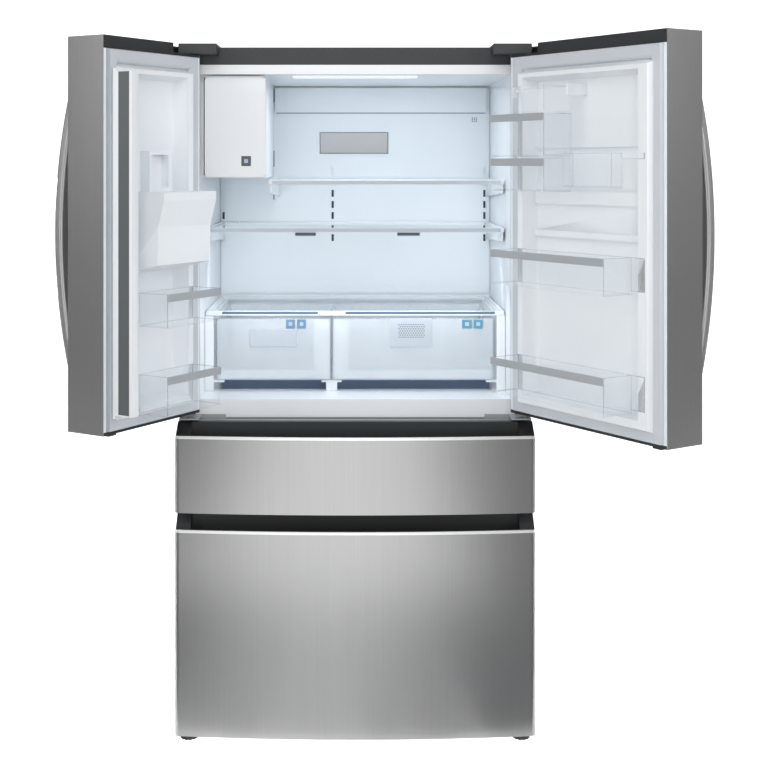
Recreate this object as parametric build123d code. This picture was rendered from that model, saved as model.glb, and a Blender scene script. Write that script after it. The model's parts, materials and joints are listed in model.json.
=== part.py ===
from build123d import *
import math
import os

os.makedirs("parts", exist_ok=True)

# Four-door French door refrigerator, doors open as in use, millimetres.
# X runs to the right, Y to the back, Z up. Y = 0 is the front face of the cabinet, Z = 0 is the floor.

# Cabinet sizes
cabinet_width = 900.0
cabinet_depth = 616.0
cabinet_top = 1779.0
cabinet_bottom = 48.0
shell_sheet = 1.5
liner_sheet = 2.5
flange_side = 38.0
flange_drop = 45.0
liner_wall = 48.0
half_width = cabinet_width / 2
flange_inner_half = half_width - flange_side
flange_top_inner = cabinet_top - flange_drop
flange_bottom_inner = cabinet_bottom + 37

# Fresh food compartment
liner_half = half_width - liner_wall
liner_ceiling = cabinet_top - 69
liner_floor = 872.0
liner_rim_bottom = liner_floor - 46
liner_back = cabinet_depth - 71
floor_step_y = 165.0
floor_step_drop = 24.0
duct_thickness = 5.0

# Drawer compartments
flex_rim_top = liner_rim_bottom - 26
flex_ceiling = flex_rim_top - 10
flex_floor = flex_ceiling - 162
flex_rim_bottom = flex_floor - 12
flex_back = cabinet_depth - 81
freezer_rim_top = flex_rim_bottom - 28
freezer_ceiling = freezer_rim_top - 16
freezer_floor = flange_bottom_inner + 27
freezer_back = cabinet_depth - 161
freezer_step_y = cabinet_depth - 221
machine_front = cabinet_depth - 191
machine_top = cabinet_bottom + 237
freezer_step_z = machine_top + 15

# Doors and drawer fronts share one bowed front surface
front_overhang = 2.0
front_corner_y = -101.0
front_bow = 24.0
seal_gap = 12.0
seal_clearance = 0.5
skin_sheet = 1.5
corner_radius = 3.0
side_radius = 12.0
door_sheet = 3.0
door_split_x = -89.5
door_split_gap = 5.0
door_bottom = liner_floor - 24
door_top = cabinet_top
door_top_cap = 31.0
door_bottom_cap = 8.0
left_open_angle = 121.5
right_open_angle = 123.0
pin_inset = 18.0
pin_ahead = 35.0
pin_radius = 4.5
running_gap = 0.06

# Drawer fronts
flex_front_bottom = flex_rim_bottom - 11
flex_lip_top = flex_rim_top - 2.5
flex_cap_top = flex_rim_top + 23
freezer_front_bottom = cabinet_bottom - 1
freezer_lip_top = freezer_rim_top - 25.5
freezer_cap_top = freezer_rim_top + 12
lip_height = 7.0
lip_depth = 5.0
pocket_end = 38.0
pocket_back_y = -48.0
pocket_wall = 10.0
pocket_depth = 22.0
scoop_half = 224.0
scoop_depth = 50.0
cap_base = 14.0

# Door inside
dyke_height = 25.0
dyke_width = 28.0
dyke_top_width = 20.0
dyke_slope = 9.0
recess_depth = 18.0
recess_slope = 10.0
bin_reach = 115.0
bin_wall = 2.5
rim_band = 18.0
rim_thick = 2.5

# Handles
handle_low = door_bottom + 99
handle_high = door_top - 97
handle_standoff = 56.0
handle_thick = 26.0
handle_round = 8.0
handle_width = 26.0
handle_edge_gap = 12.0

# Shelves and crispers
shelf_front_y = 122.0
upper_shelf_drop = 274.0
middle_shelf_drop = 402.0
cover_rise = 214.0
upper_shelf_top = liner_ceiling - upper_shelf_drop
middle_shelf_top = liner_ceiling - middle_shelf_drop
cover_top = liner_floor + cover_rise
shelf_thick = 12.0
glass_thick = 4.0
crisper_half = liner_half - 32
crisper_split_x = -63.0
crisper_floor = liner_floor + 29
crisper_top = cover_top - 20
crisper_wall = 3.0
ice_right_x = -liner_half + 170
ice_rear_x = ice_right_x - 11
ice_bottom = liner_ceiling - 268
ice_front_y = 34.0

# Runners
runner_half = 22.0
runner_sheet = 2.0
runner_gap = 0.5
runner_front = 10.0
runner_back = freezer_step_y + 35
flex_runner_z = flex_floor + 72
freezer_runner_z = freezer_ceiling - 176
box_half = liner_half - 36

# Derived values
half_front = half_width + front_overhang
bow_radius = (half_front ** 2 + front_bow ** 2) / (2 * front_bow)
front_most_y = front_corner_y - front_bow
bow_center_y = front_most_y + bow_radius
inner_face_y = -seal_gap
seal_back_y = -seal_clearance
pin_x = half_front - pin_inset
pin_y = inner_face_y - pin_ahead
left_free_x = door_split_x - door_split_gap / 2
right_free_x = door_split_x + door_split_gap / 2
duct_front = liner_back - duct_thickness
dyke_front_y = inner_face_y + dyke_height
recess_y = inner_face_y - recess_depth
bin_front_y = inner_face_y + bin_reach - rim_thick


def slab(x0, x1, y0, y1, z0, z1):
    return Pos((x0 + x1) / 2, (y0 + y1) / 2, (z0 + z1) / 2) * Box(x1 - x0, y1 - y0, z1 - z0)


def rod_x(x0, x1, y, z, radius):
    return Pos((x0 + x1) / 2, y, z) * Rot(0, 90, 0) * Cylinder(radius, x1 - x0)


def rod_y(x, z, y0, y1, radius):
    return Pos(x, (y0 + y1) / 2, z) * Rot(90, 0, 0) * Cylinder(radius, y1 - y0)


def rod_z(x, y, z0, z1, radius):
    return Pos(x, y, (z0 + z1) / 2) * Cylinder(radius, z1 - z0)


def prism_x(x0, x1, corners):
    face = make_face(Polyline(*[(0, y, z) for y, z in corners], close=True))
    return Pos(x0, 0, 0) * extrude(face, amount=x1 - x0, dir=(1, 0, 0))


def prism_z(z0, z1, corners):
    face = make_face(Polyline(*[(x, y, z0) for x, y in corners], close=True))
    return extrude(face, amount=z1 - z0, dir=(0, 0, 1))


def tapered(x0, x1, z0, z1, wide_y, narrow_y, spread):
    middle_x = (x0 + x1) / 2
    middle_z = (z0 + z1) / 2
    wide_plane = Plane(origin=(middle_x, wide_y, middle_z), x_dir=(1, 0, 0), z_dir=(0, 1, 0))
    narrow_plane = Plane(origin=(middle_x, narrow_y, middle_z), x_dir=(1, 0, 0), z_dir=(0, 1, 0))
    wide = wide_plane * Rectangle(x1 - x0 + 2 * spread, z1 - z0 + 2 * spread)
    narrow = narrow_plane * Rectangle(x1 - x0, z1 - z0)
    return loft([wide, narrow])


def mirrored(shape):
    return mirror(shape, Plane.YZ)


def bowed(x0, x1, z0, z1, inset, back_y):
    block = slab(x0, x1, front_most_y - 40, back_y, z0, z1)
    drum = Pos(0, bow_center_y, (z0 + z1) / 2) * Cylinder(bow_radius - inset, z1 - z0 + 2)
    return block & drum


def rounded_bowed(x0, x1, z0, z1, inset, back_y):
    block = bowed(x0, x1, z0, z1, inset, back_y)
    for end_x in (x0, x1):
        at_side = abs(end_x) > half_front - 2 * skin_sheet
        radius = (side_radius if at_side else corner_radius) - inset
        upright = block.edges().filter_by(Axis.Z)
        corner = upright.filter_by_position(Axis.X, end_x - 0.01, end_x + 0.01).sort_by(Axis.Y)[0]
        block = fillet(corner, radius)
    return block


def door_inside(x0, x1, z0, z1, back_y):
    return rounded_bowed(x0 + skin_sheet, x1 - skin_sheet, z0, z1, skin_sheet, back_y)


def front_skin(x0, x1, z0, z1):
    return rounded_bowed(x0, x1, z0, z1, 0, inner_face_y) - door_inside(x0, x1, z0 - 1, z1 + 1, 5)


def ring_plate(outer, inner, y0, y1):
    plate = slab(outer[0], outer[1], y0, y1, outer[2], outer[3])
    return plate - slab(inner[0], inner[1], y0 - 1, y1 + 1, inner[2], inner[3])


def solids_of(*shapes):
    return Compound([solid for shape in shapes for solid in shape.solids()])


def save(name, *shapes):
    export_step(solids_of(*shapes), "parts/" + name + ".step")


# Cabinet shell: wrapper, back sheet and front flange
shell = slab(-half_width, half_width, 0, cabinet_depth, cabinet_bottom, cabinet_top)
shell_inside = slab(
    -half_width + shell_sheet,
    half_width - shell_sheet,
    liner_sheet,
    cabinet_depth - shell_sheet,
    cabinet_bottom + shell_sheet,
    cabinet_top - shell_sheet,
)
front_opening = slab(
    -flange_inner_half, flange_inner_half, -1, liner_sheet + 1, flange_bottom_inner, flange_top_inner
)
machine_margin = 20.0
machine_opening = slab(
    -half_width + machine_margin,
    half_width - machine_margin,
    cabinet_depth - shell_sheet - 1,
    cabinet_depth + 1,
    cabinet_bottom + machine_margin,
    machine_top,
)
cabinet_shell = shell - shell_inside - front_opening - machine_opening
save("cabinet_shell", cabinet_shell)

# Fresh food liner with its front rim and stepped floor
low_floor = liner_floor - floor_step_drop
fresh_cavity = slab(-liner_half, liner_half, -1, liner_back, liner_floor, liner_ceiling)
fresh_cavity += slab(-liner_half, liner_half, floor_step_y, liner_back, low_floor, liner_floor + 1)
fresh_half = liner_half + liner_sheet
fresh_outside = slab(
    -fresh_half, fresh_half, 0, liner_back + liner_sheet,
    liner_floor - liner_sheet, liner_ceiling + liner_sheet
)
fresh_outside += slab(
    -fresh_half,
    fresh_half,
    floor_step_y - liner_sheet,
    liner_back + liner_sheet,
    low_floor - liner_sheet,
    liner_floor,
)
fresh_rim = slab(
    -flange_inner_half, flange_inner_half, 0, liner_sheet, liner_rim_bottom, flange_top_inner
)
fresh_food_liner = (fresh_outside + fresh_rim) - fresh_cavity
save("fresh_food_liner", fresh_food_liner)

# Liners of the flex drawer and the freezer drawer
flex_cavity = slab(-liner_half, liner_half, -1, flex_back, flex_floor, flex_ceiling)
flex_outside = slab(
    -fresh_half, fresh_half, 0, flex_back + liner_sheet, flex_floor - liner_sheet, flex_ceiling + liner_sheet
)
flex_rim = slab(-flange_inner_half, flange_inner_half, 0, liner_sheet, flex_rim_bottom, flex_rim_top)
flex_liner = (flex_outside + flex_rim) - flex_cavity
freezer_cavity = slab(-liner_half, liner_half, -1, freezer_step_y, freezer_floor, freezer_ceiling)
freezer_cavity += slab(-liner_half, liner_half, 10, freezer_back, freezer_step_z, freezer_ceiling)
freezer_outside = slab(
    -fresh_half,
    fresh_half,
    0,
    freezer_step_y + liner_sheet,
    freezer_floor - liner_sheet,
    freezer_ceiling + liner_sheet,
)
freezer_outside += slab(
    -fresh_half,
    fresh_half,
    10,
    freezer_back + liner_sheet,
    freezer_step_z - liner_sheet,
    freezer_ceiling + liner_sheet,
)
freezer_rim = slab(
    -flange_inner_half, flange_inner_half, 0, liner_sheet, flange_bottom_inner, freezer_rim_top
)
freezer_liner = (freezer_outside + freezer_rim) - freezer_cavity
save("drawer_liners", flex_liner, freezer_liner)

# Cross rails that close the front between the compartments
rail_lip = 18.0
upper_rail = slab(-flange_inner_half, flange_inner_half, 0, liner_sheet, flex_rim_top, liner_rim_bottom)
lower_rail = slab(-flange_inner_half, flange_inner_half, 0, liner_sheet, freezer_rim_top, flex_rim_bottom)
upper_rail += slab(
    -flange_inner_half, flange_inner_half, 0, rail_lip, flex_rim_top + 10, flex_rim_top + 10 + liner_sheet
)
lower_rail += slab(
    -flange_inner_half, flange_inner_half, 0, rail_lip,
    freezer_rim_top + 12, freezer_rim_top + 12 + liner_sheet
)
save("cross_rails", upper_rail, lower_rail)

# Evaporator in its bay behind the freezer liner
bay_half = 280.0
bay_front = freezer_back + 15
bay_depth = 90.0
bay_low = freezer_step_z + 20
bay_height = 240.0
coil_gap = 10.0
fin_count = 12
fin_thick = 3.0
evaporator_bay = slab(
    -bay_half, bay_half, bay_front, bay_front + bay_depth, bay_low, bay_low + bay_height
)
coil_half = bay_half - coil_gap
coil_front = bay_front + coil_gap
coil_back = bay_front + bay_depth - coil_gap
coil_top = bay_low + bay_height - coil_gap
fin_pitch = (2 * coil_half - fin_thick) / (fin_count - 1)
evaporator = rod_x(-coil_half, coil_half, (coil_front + coil_back) / 2, bay_low + 40, 6)
evaporator += rod_x(-coil_half, coil_half, (coil_front + coil_back) / 2, bay_low + 110, 6)
evaporator += rod_x(-coil_half, coil_half, (coil_front + coil_back) / 2, bay_low + 180, 6)
for index in range(fin_count):
    fin_x = -coil_half + index * fin_pitch
    evaporator += slab(fin_x, fin_x + fin_thick, coil_front, coil_back, bay_low, coil_top)
save("evaporator", evaporator)

# Foam between shell and liners
machine_bay = slab(
    -half_width + shell_sheet,
    half_width - shell_sheet,
    machine_front,
    cabinet_depth,
    cabinet_bottom + shell_sheet,
    machine_top,
)
rail_room = slab(-flange_inner_half, flange_inner_half, 0, rail_lip + 1, flex_rim_top + 8, flex_rim_top + 15)
rail_room += slab(
    -flange_inner_half, flange_inner_half, 0, rail_lip + 1, freezer_rim_top + 10, freezer_rim_top + 17
)
cabinet_foam = shell_inside - fresh_outside - flex_outside - freezer_outside - machine_bay
cabinet_foam = cabinet_foam - evaporator_bay - rail_room
save("cabinet_foam", cabinet_foam)

# Rear air panel with shelf slots, vents and a raised trim plate
panel_half = liner_half - 3
panel_low = cover_top + 9
panel_high = liner_ceiling - 6
plate_left = -111.0
plate_right = 104.0
plate_low = liner_ceiling - 207
plate_high = liner_ceiling - 132
slot_room = plate_low - cover_top
slot_pitch = 0.0791 * slot_room
slot_height = 0.0504 * slot_room
slot_width = 7.0
slot_count = 7
slot_first_z = cover_top + 0.3885 * slot_room
slot_side = liner_half - 17
slot_middle_x = crisper_split_x - 4
plate_thick = 4.0
upper_step = 8.0
upper_low = liner_ceiling - 79
air_duct_panel = slab(-panel_half, panel_half, duct_front, liner_back, panel_low, panel_high)
air_duct_panel += slab(
    ice_rear_x + 5, panel_half - 9, duct_front - upper_step, duct_front, upper_low, panel_high
)
for slot_x in (-slot_side - 7, slot_middle_x, slot_side):
    for index in range(slot_count):
        slot_z = slot_first_z + index * slot_pitch
        air_duct_panel -= slab(
            slot_x - slot_width / 2,
            slot_x + slot_width / 2,
            duct_front - 1,
            liner_back + 1,
            slot_z,
            slot_z + slot_height,
        )
vent_low = slot_first_z + 16
vent_height = 10.0
air_duct_panel -= slab(-179, -117, duct_front - 1, liner_back + 1, vent_low, vent_low + vent_height)
air_duct_panel -= slab(125, 193, duct_front - 1, liner_back + 1, vent_low, vent_low + vent_height)
air_duct_panel += slab(plate_left, plate_right, duct_front - plate_thick, duct_front, plate_low, plate_high)
air_duct_panel -= slab(
    plate_left + 5, plate_right - 5, duct_front - plate_thick - 1,
    duct_front - 2, plate_low + 5, plate_high - 5
)
save("air_duct_panel", air_duct_panel)

# Ceiling light lens
light_half = 165.0
light_front = 62.0
light_back = 92.0
light_drop = 6.0
ceiling_light = slab(
    -light_half, light_half, light_front, light_back, liner_ceiling - light_drop, liner_ceiling
)
ceiling_light = chamfer(ceiling_light.faces().sort_by(Axis.Z)[0].edges(), 3)
save("ceiling_light", ceiling_light)

# Shelf frames and their glass
frame_side = 14.0
frame_front = 18.0
rebate = 7.0
glass_gap = 0.2
shelf_end = liner_half - 4
arm_thick = 5.0
arm_front_drop = 24.0
arm_back_drop = 42.0


def shelf_frame(x0, x1, y0, y1, top):
    frame = slab(x0, x1, y0, y1, top - shelf_thick, top)
    frame -= slab(
        x0 + frame_side, x1 - frame_side, y0 + frame_front, y1 - frame_side, top - shelf_thick - 1, top + 1
    )
    frame -= slab(x0 + rebate, x1 - rebate, y0 + rebate, y1 - rebate, top - glass_thick, top + 1)
    return frame


def shelf_pane(x0, x1, y0, y1, top):
    inset = rebate + glass_gap
    return slab(x0 + inset, x1 - inset, y0 + inset, y1 - inset, top - glass_thick, top)


def shelf_arm(x, y0, y1, top):
    under = top - shelf_thick
    corners = [(y0 + 6, under), (y0 + 6, under - arm_front_drop), (y1, under - arm_back_drop), (y1, under)]
    return prism_x(x, x + arm_thick, corners)


upper_left_x = ice_right_x + 1
upper_frame = shelf_frame(upper_left_x, shelf_end, shelf_front_y, duct_front, upper_shelf_top)
upper_frame += shelf_arm(upper_left_x + 2, shelf_front_y, duct_front, upper_shelf_top)
upper_frame += shelf_arm(shelf_end - 2 - arm_thick, shelf_front_y, duct_front, upper_shelf_top)
middle_frame = shelf_frame(-shelf_end, shelf_end, shelf_front_y, duct_front, middle_shelf_top)
middle_frame += shelf_arm(-shelf_end + 2, shelf_front_y, duct_front, middle_shelf_top)
middle_frame += shelf_arm(shelf_end - 2 - arm_thick, shelf_front_y, duct_front, middle_shelf_top)

# Crisper cover frame on side walls, and a middle rail, that stand on the liner floor
wall_inner = crisper_half + 8
wall_outer = liner_half - 1
ledge_gap = 0.5
ledge_thick = 6.0
ledge_top = crisper_floor - ledge_gap
ledge_low = ledge_top - ledge_thick
post_back = floor_step_y + 3
rail_half = 3.0
post_half = 15.0
cover_under = cover_top - shelf_thick
crisper_rear = liner_back - 10
cover_frame = shelf_frame(-shelf_end, shelf_end, shelf_front_y, duct_front, cover_top)
for wall_sign in (-1, 1):
    wall_low_x = min(wall_sign * wall_inner, wall_sign * wall_outer)
    wall_high_x = max(wall_sign * wall_inner, wall_sign * wall_outer)
    ledge_low_x = min(wall_sign * (crisper_half - 20), wall_sign * wall_inner)
    ledge_high_x = max(wall_sign * (crisper_half - 20), wall_sign * wall_inner)
    cover_frame += slab(wall_low_x, wall_high_x, floor_step_y, crisper_rear, low_floor, cover_under)
    cover_frame += slab(wall_low_x, wall_high_x, shelf_front_y + 4, floor_step_y, liner_floor, cover_under)
    cover_frame += slab(ledge_low_x, ledge_high_x, shelf_front_y + 8, crisper_rear, ledge_low, ledge_top)
middle_rail = slab(
    crisper_split_x - rail_half, crisper_split_x + rail_half, floor_step_y, crisper_rear, low_floor, ledge_low
)
middle_rail += slab(
    crisper_split_x - post_half,
    crisper_split_x + post_half,
    shelf_front_y + 8,
    floor_step_y,
    liner_floor,
    ledge_low,
)
middle_rail += slab(
    crisper_split_x - post_half - 12,
    crisper_split_x + post_half + 12,
    shelf_front_y + 8,
    crisper_rear,
    ledge_low,
    ledge_top,
)
save("shelf_frames", upper_frame, middle_frame, cover_frame, middle_rail)
save(
    "shelf_glass",
    shelf_pane(upper_left_x, shelf_end, shelf_front_y, duct_front, upper_shelf_top),
    shelf_pane(-shelf_end, shelf_end, shelf_front_y, duct_front, middle_shelf_top),
    shelf_pane(-shelf_end, shelf_end, shelf_front_y, duct_front, cover_top),
)

# Crispers: clear open boxes that slide out on the ledges
crisper_front = shelf_front_y + 2
crisper_rear_gap = 35.0
crisper_back = crisper_rear - crisper_rear_gap
crisper_play = 1.5


def crisper(x0, x1):
    box = slab(x0, x1, crisper_front, crisper_back, crisper_floor, crisper_top)
    return box - slab(
        x0 + crisper_wall,
        x1 - crisper_wall,
        crisper_front + crisper_wall,
        crisper_back - crisper_wall,
        crisper_floor + crisper_wall,
        crisper_top + 1,
    )


crisper_left = crisper(-crisper_half, crisper_split_x - crisper_play)
crisper_right = crisper(crisper_split_x + crisper_play, crisper_half)
save("crisper_left", crisper_left)
save("crisper_right", crisper_right)

# Ice compartment in the upper left corner, with the ice maker above the bin
ice_wall = 8.0
ice_inner_left = -liner_half + ice_wall
ice_inner_right = ice_right_x - ice_wall
ice_inner_low = ice_bottom + ice_wall
ice_inner_high = liner_ceiling - ice_wall
ice_corners = [
    (-liner_half, ice_front_y),
    (ice_right_x, ice_front_y),
    (ice_rear_x, duct_front),
    (-liner_half, duct_front),
]
ice_inner_corners = [
    (ice_inner_left, ice_front_y - 1),
    (ice_inner_right, ice_front_y - 1),
    (ice_rear_x - ice_wall, duct_front - ice_wall),
    (ice_inner_left, duct_front - ice_wall),
]
ice_housing = prism_z(ice_bottom, liner_ceiling, ice_corners)
ice_housing -= prism_z(ice_inner_low, ice_inner_high, ice_inner_corners)
outlet_x = (ice_inner_left + ice_rear_x) / 2
ice_housing -= slab(
    outlet_x - 30, outlet_x + 30, ice_front_y + 14, ice_front_y + 60, ice_bottom - 1, ice_inner_low + 1
)
mould_back = duct_front - 40
mould_front = mould_back - 200
mould_height = 60.0
mould_left = ice_inner_left + 14
mould_right = ice_inner_right - 14
ice_maker = slab(
    mould_left, mould_right, mould_front, mould_back, ice_inner_high - mould_height, ice_inner_high
)
for index in range(6):
    pocket_y = mould_front + 22 + index * 31
    ice_maker -= slab(
        mould_left + 12,
        mould_right - 12,
        pocket_y - 12,
        pocket_y + 12,
        ice_inner_high - mould_height + 20,
        ice_inner_high - 18,
    )
save("ice_compartment", ice_housing, ice_maker)

# Ice bin with its front cover, and the auger that turns in it
bin_play = 0.5
cover_thick = 14.0
cover_gap = 2.0
ice_cover_back = ice_front_y - cover_gap
ice_cover_front = ice_cover_back - cover_thick
ice_cover_left = -liner_half + 12
bucket_wall = 3.0
bucket_left = ice_inner_left + 6
bucket_right = ice_rear_x - ice_wall - 3
bucket_low = ice_inner_low + bin_play
bucket_high = bucket_low + 150
bucket_back = duct_front - 120
auger_x = (bucket_left + bucket_right) / 2
auger_z = bucket_low + 28
auger_radius = 7.0
blade_reach = 20.0
ice_cover = slab(
    ice_cover_left, ice_right_x - 1, ice_cover_front, ice_cover_back, ice_bottom + 2, liner_ceiling - 4
)
ice_cover = fillet(ice_cover.edges().filter_by(Axis.Y), 12)
bucket = slab(bucket_left, bucket_right, ice_cover_back, bucket_back, bucket_low, bucket_high)
bucket -= slab(
    bucket_left + bucket_wall,
    bucket_right - bucket_wall,
    ice_front_y + 6,
    bucket_back - bucket_wall,
    bucket_low + bucket_wall,
    bucket_high + 1,
)
ice_bin = ice_cover + bucket
auger_bore = auger_radius + running_gap
auger_front = ice_cover_back + 1
auger_back = bucket_back + 14
ice_bin -= rod_y(auger_x, auger_z, auger_front - 0.5, bucket_back + 1, auger_bore)
save("ice_bin", ice_bin)
ice_auger = rod_y(auger_x, auger_z, auger_front, auger_back, auger_radius)
blade_count = 8
blade_first = ice_front_y + 30
blade_pitch = 44.0
for index in range(blade_count):
    blade_y = blade_first + index * blade_pitch
    blade = slab(-blade_reach, blade_reach, -3, 3, -5, 5)
    ice_auger += Pos(auger_x, blade_y, auger_z) * Rot(0, index * 40, 0) * blade
save("ice_auger", ice_auger)

# Base frame with roller lugs and axles, feet and rear rollers
rail_inner = half_width - 50
rail_outer = half_width - 4
rail_low = 30.0
foot_x = half_width - 22
foot_y = 6.0
foot_radius = 22.5
foot_pad = 12.0
foot_grips = 12
grip_radius = 3.0
rail_front = -8.0
stem_radius = 6.0
roller_radius = 20.0
roller_y = cabinet_depth - 46
roller_left = rail_inner - 27.5
roller_right = rail_inner - 8.5
axle_radius = 4.0
lug_thick = 4.0
roller_play = 0.5
base_frame = slab(-rail_inner, rail_inner, 20, 45, rail_low, cabinet_bottom)
base_frame += slab(-rail_inner, rail_inner, roller_y - 100, roller_y - 70, rail_low, cabinet_bottom)
for base_sign in (-1, 1):
    low_x = min(base_sign * rail_inner, base_sign * rail_outer)
    high_x = max(base_sign * rail_inner, base_sign * rail_outer)
    base_frame += slab(low_x, high_x, rail_front, cabinet_depth - 16, rail_low, cabinet_bottom)
    inner_lug = base_sign * (roller_left - roller_play - lug_thick)
    inner_lug_end = base_sign * (roller_left - roller_play)
    outer_lug = base_sign * (roller_right + roller_play)
    outer_lug_end = base_sign * rail_inner
    lug_back = roller_y + 14
    lug_front = roller_y - 14
    lug_low = roller_radius - 10
    base_frame += slab(
        min(inner_lug, inner_lug_end), max(inner_lug, inner_lug_end),
        lug_front, lug_back, lug_low, cabinet_bottom
    )
    base_frame += slab(
        min(outer_lug, outer_lug_end), max(outer_lug, outer_lug_end),
        lug_front, lug_back, lug_low, cabinet_bottom
    )
    axle_ends = sorted((inner_lug, outer_lug_end))
    base_frame += rod_x(axle_ends[0], axle_ends[1], roller_y, roller_radius, axle_radius)
    base_frame -= rod_z(
        base_sign * foot_x, foot_y, rail_low - 1, cabinet_bottom - 2, stem_radius + running_gap
    )
base_frame += slab(
    -roller_left + roller_play, roller_left - roller_play,
    roller_y + 8, roller_y + 14, rail_low + 12, cabinet_bottom
)
save("base_frame", base_frame)
foot = rod_z(foot_x, foot_y, 0, foot_pad, foot_radius)
foot = chamfer(foot.edges().group_by(Axis.Z)[-1], 3)
for grip in range(foot_grips):
    grip_angle = 2 * math.pi * grip / foot_grips
    grip_x = foot_x + (foot_radius + 1) * math.cos(grip_angle)
    grip_y = foot_y + (foot_radius + 1) * math.sin(grip_angle)
    foot -= rod_z(grip_x, grip_y, -1, foot_pad + 1, grip_radius)
foot += rod_z(foot_x, foot_y, foot_pad, cabinet_bottom - 3, stem_radius)
foot += Pos(foot_x, foot_y, foot_pad + 5) * extrude(RegularPolygon(11, 6), amount=8)
save("levelling_feet", foot, mirrored(foot))
roller = rod_x(roller_left, roller_right, roller_y, roller_radius, roller_radius)
roller = chamfer(roller.edges().filter_by(GeomType.CIRCLE), 2)
roller -= rod_x(roller_left - 1, roller_right + 1, roller_y, roller_radius, axle_radius + running_gap)
save("rear_rollers", roller, mirrored(roller))

# Machine compartment: compressor, condenser with drain pan and fan plate, fan, rear cover
machine_floor = cabinet_bottom + shell_sheet
machine_y = cabinet_depth - 94
compressor_x = -half_width + 210
can_radius = 68.0
can_low = machine_floor + 16
can_height = 140.0
compressor = slab(
    compressor_x - 95, compressor_x + 95, machine_y - 60,
    machine_y + 60, machine_floor + 8, machine_floor + 12
)
compressor += rod_z(compressor_x, machine_y, machine_floor + 12, can_low + can_height, can_radius)
compressor = fillet(compressor.edges().filter_by(GeomType.CIRCLE).group_by(Axis.Z)[-1], 34)
for mount_x in (-80, 80):
    for mount_y in (-45, 45):
        compressor += rod_z(
            compressor_x + mount_x, machine_y + mount_y, machine_floor, machine_floor + 8, 11
        )
compressor += rod_z(compressor_x + 50, machine_y + 52, can_low + 20, can_low + can_height + 20, 5)
compressor += slab(
    compressor_x - 25, compressor_x + 25, machine_y - 82, machine_y - 60, can_low + 40, can_low + 95
)
save("compressor", compressor)

pan_right = half_width - 90
pan_width = 320.0
pan_left = pan_right - pan_width
pan_front = machine_front + 20
pan_back = cabinet_depth - 16
pan_wall = 3.0
pan_height = 26.0
drain_pan = slab(pan_left, pan_right, pan_front, pan_back, machine_floor, machine_floor + pan_height)
drain_pan -= slab(
    pan_left + pan_wall,
    pan_right - pan_wall,
    pan_front + pan_wall,
    pan_back - pan_wall,
    machine_floor + pan_wall,
    machine_floor + pan_height + 1,
)
coil_low = machine_floor + pan_wall
condenser = rod_x(pan_left + 14, pan_right - 14, machine_y - 40, coil_low + 70, 5)
condenser += rod_x(pan_left + 14, pan_right - 14, machine_y + 40, coil_low + 70, 5)
condenser += rod_x(pan_left + 14, pan_right - 14, machine_y - 40, coil_low + 140, 5)
condenser += rod_x(pan_left + 14, pan_right - 14, machine_y + 40, coil_low + 140, 5)
plate_count = 12
plate_pitch = (pan_right - pan_left - 32) / (plate_count - 1)
for index in range(plate_count):
    plate_x = pan_left + 14 + index * plate_pitch
    condenser += slab(plate_x, plate_x + 4, machine_y - 62, machine_y + 62, coil_low, coil_low + 175)

fan_x = pan_left - 80
fan_z = machine_floor + 100
fan_radius = 66.0
hub_radius = 17.0
fan_shaft_radius = 4.0
plate_back_x = fan_x - 34
plate_half = 82.0
fan_plate = slab(
    plate_back_x, plate_back_x + 5, machine_y - plate_half, machine_y + plate_half,
    machine_floor, machine_floor + 185
)
fan_plate -= rod_x(plate_back_x - 1, plate_back_x + 6, machine_y, fan_z, fan_radius + 4)
fan_plate += slab(
    plate_back_x, plate_back_x + 5, machine_y - plate_half, machine_y + plate_half, fan_z - 7, fan_z + 7
)
fan_plate += slab(plate_back_x, plate_back_x + 5, machine_y - 7, machine_y + 7, machine_floor, fan_z)
fan_plate += rod_x(plate_back_x - 28, plate_back_x + 14, machine_y, fan_z, 19)
fan_plate += rod_x(plate_back_x + 14, fan_x + 12, machine_y, fan_z, fan_shaft_radius)
save("condenser", condenser, drain_pan, fan_plate)
condenser_fan = rod_x(fan_x - 10, fan_x + 10, machine_y, fan_z, hub_radius)
blade_root = hub_radius - 4
for index in range(5):
    fan_blade = slab(-2, 2, -15, 15, blade_root, fan_radius)
    fan_blade = Rot(0, 0, 28) * fan_blade
    condenser_fan += Pos(fan_x, machine_y, fan_z) * Rot(index * 72, 0, 0) * fan_blade
condenser_fan -= rod_x(fan_x - 30, fan_x + 30, machine_y, fan_z, fan_shaft_radius + running_gap)
save("condenser_fan", condenser_fan)

machine_half = half_width - 10
machine_sheet = 3.0
machine_cover = slab(
    -machine_half,
    machine_half,
    cabinet_depth,
    cabinet_depth + machine_sheet,
    cabinet_bottom + 4,
    machine_top + 12,
)
louvre_count = 7
for louvre_x in (compressor_x + 10, pan_left + 170):
    for index in range(louvre_count):
        louvre_z = cabinet_bottom + 40 + index * 26
        machine_cover -= slab(
            louvre_x - 110,
            louvre_x + 110,
            cabinet_depth - 1,
            cabinet_depth + machine_sheet + 1,
            louvre_z,
            louvre_z + 9,
        )
inlet_x = -half_width + 50
inlet_z = machine_top - 45
machine_cover += slab(
    inlet_x - 20,
    inlet_x + 20,
    cabinet_depth + machine_sheet,
    cabinet_depth + machine_sheet + 8,
    inlet_z - 14,
    inlet_z + 14,
)
machine_cover -= slab(
    inlet_x - 14, inlet_x + 14, cabinet_depth + 1, cabinet_depth + machine_sheet + 9, inlet_z - 9, inlet_z + 9
)
machine_cover += rod_y(
    -inlet_x, inlet_z, cabinet_depth + machine_sheet, cabinet_depth + machine_sheet + 12, 9
)
save("machine_cover", machine_cover)

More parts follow.
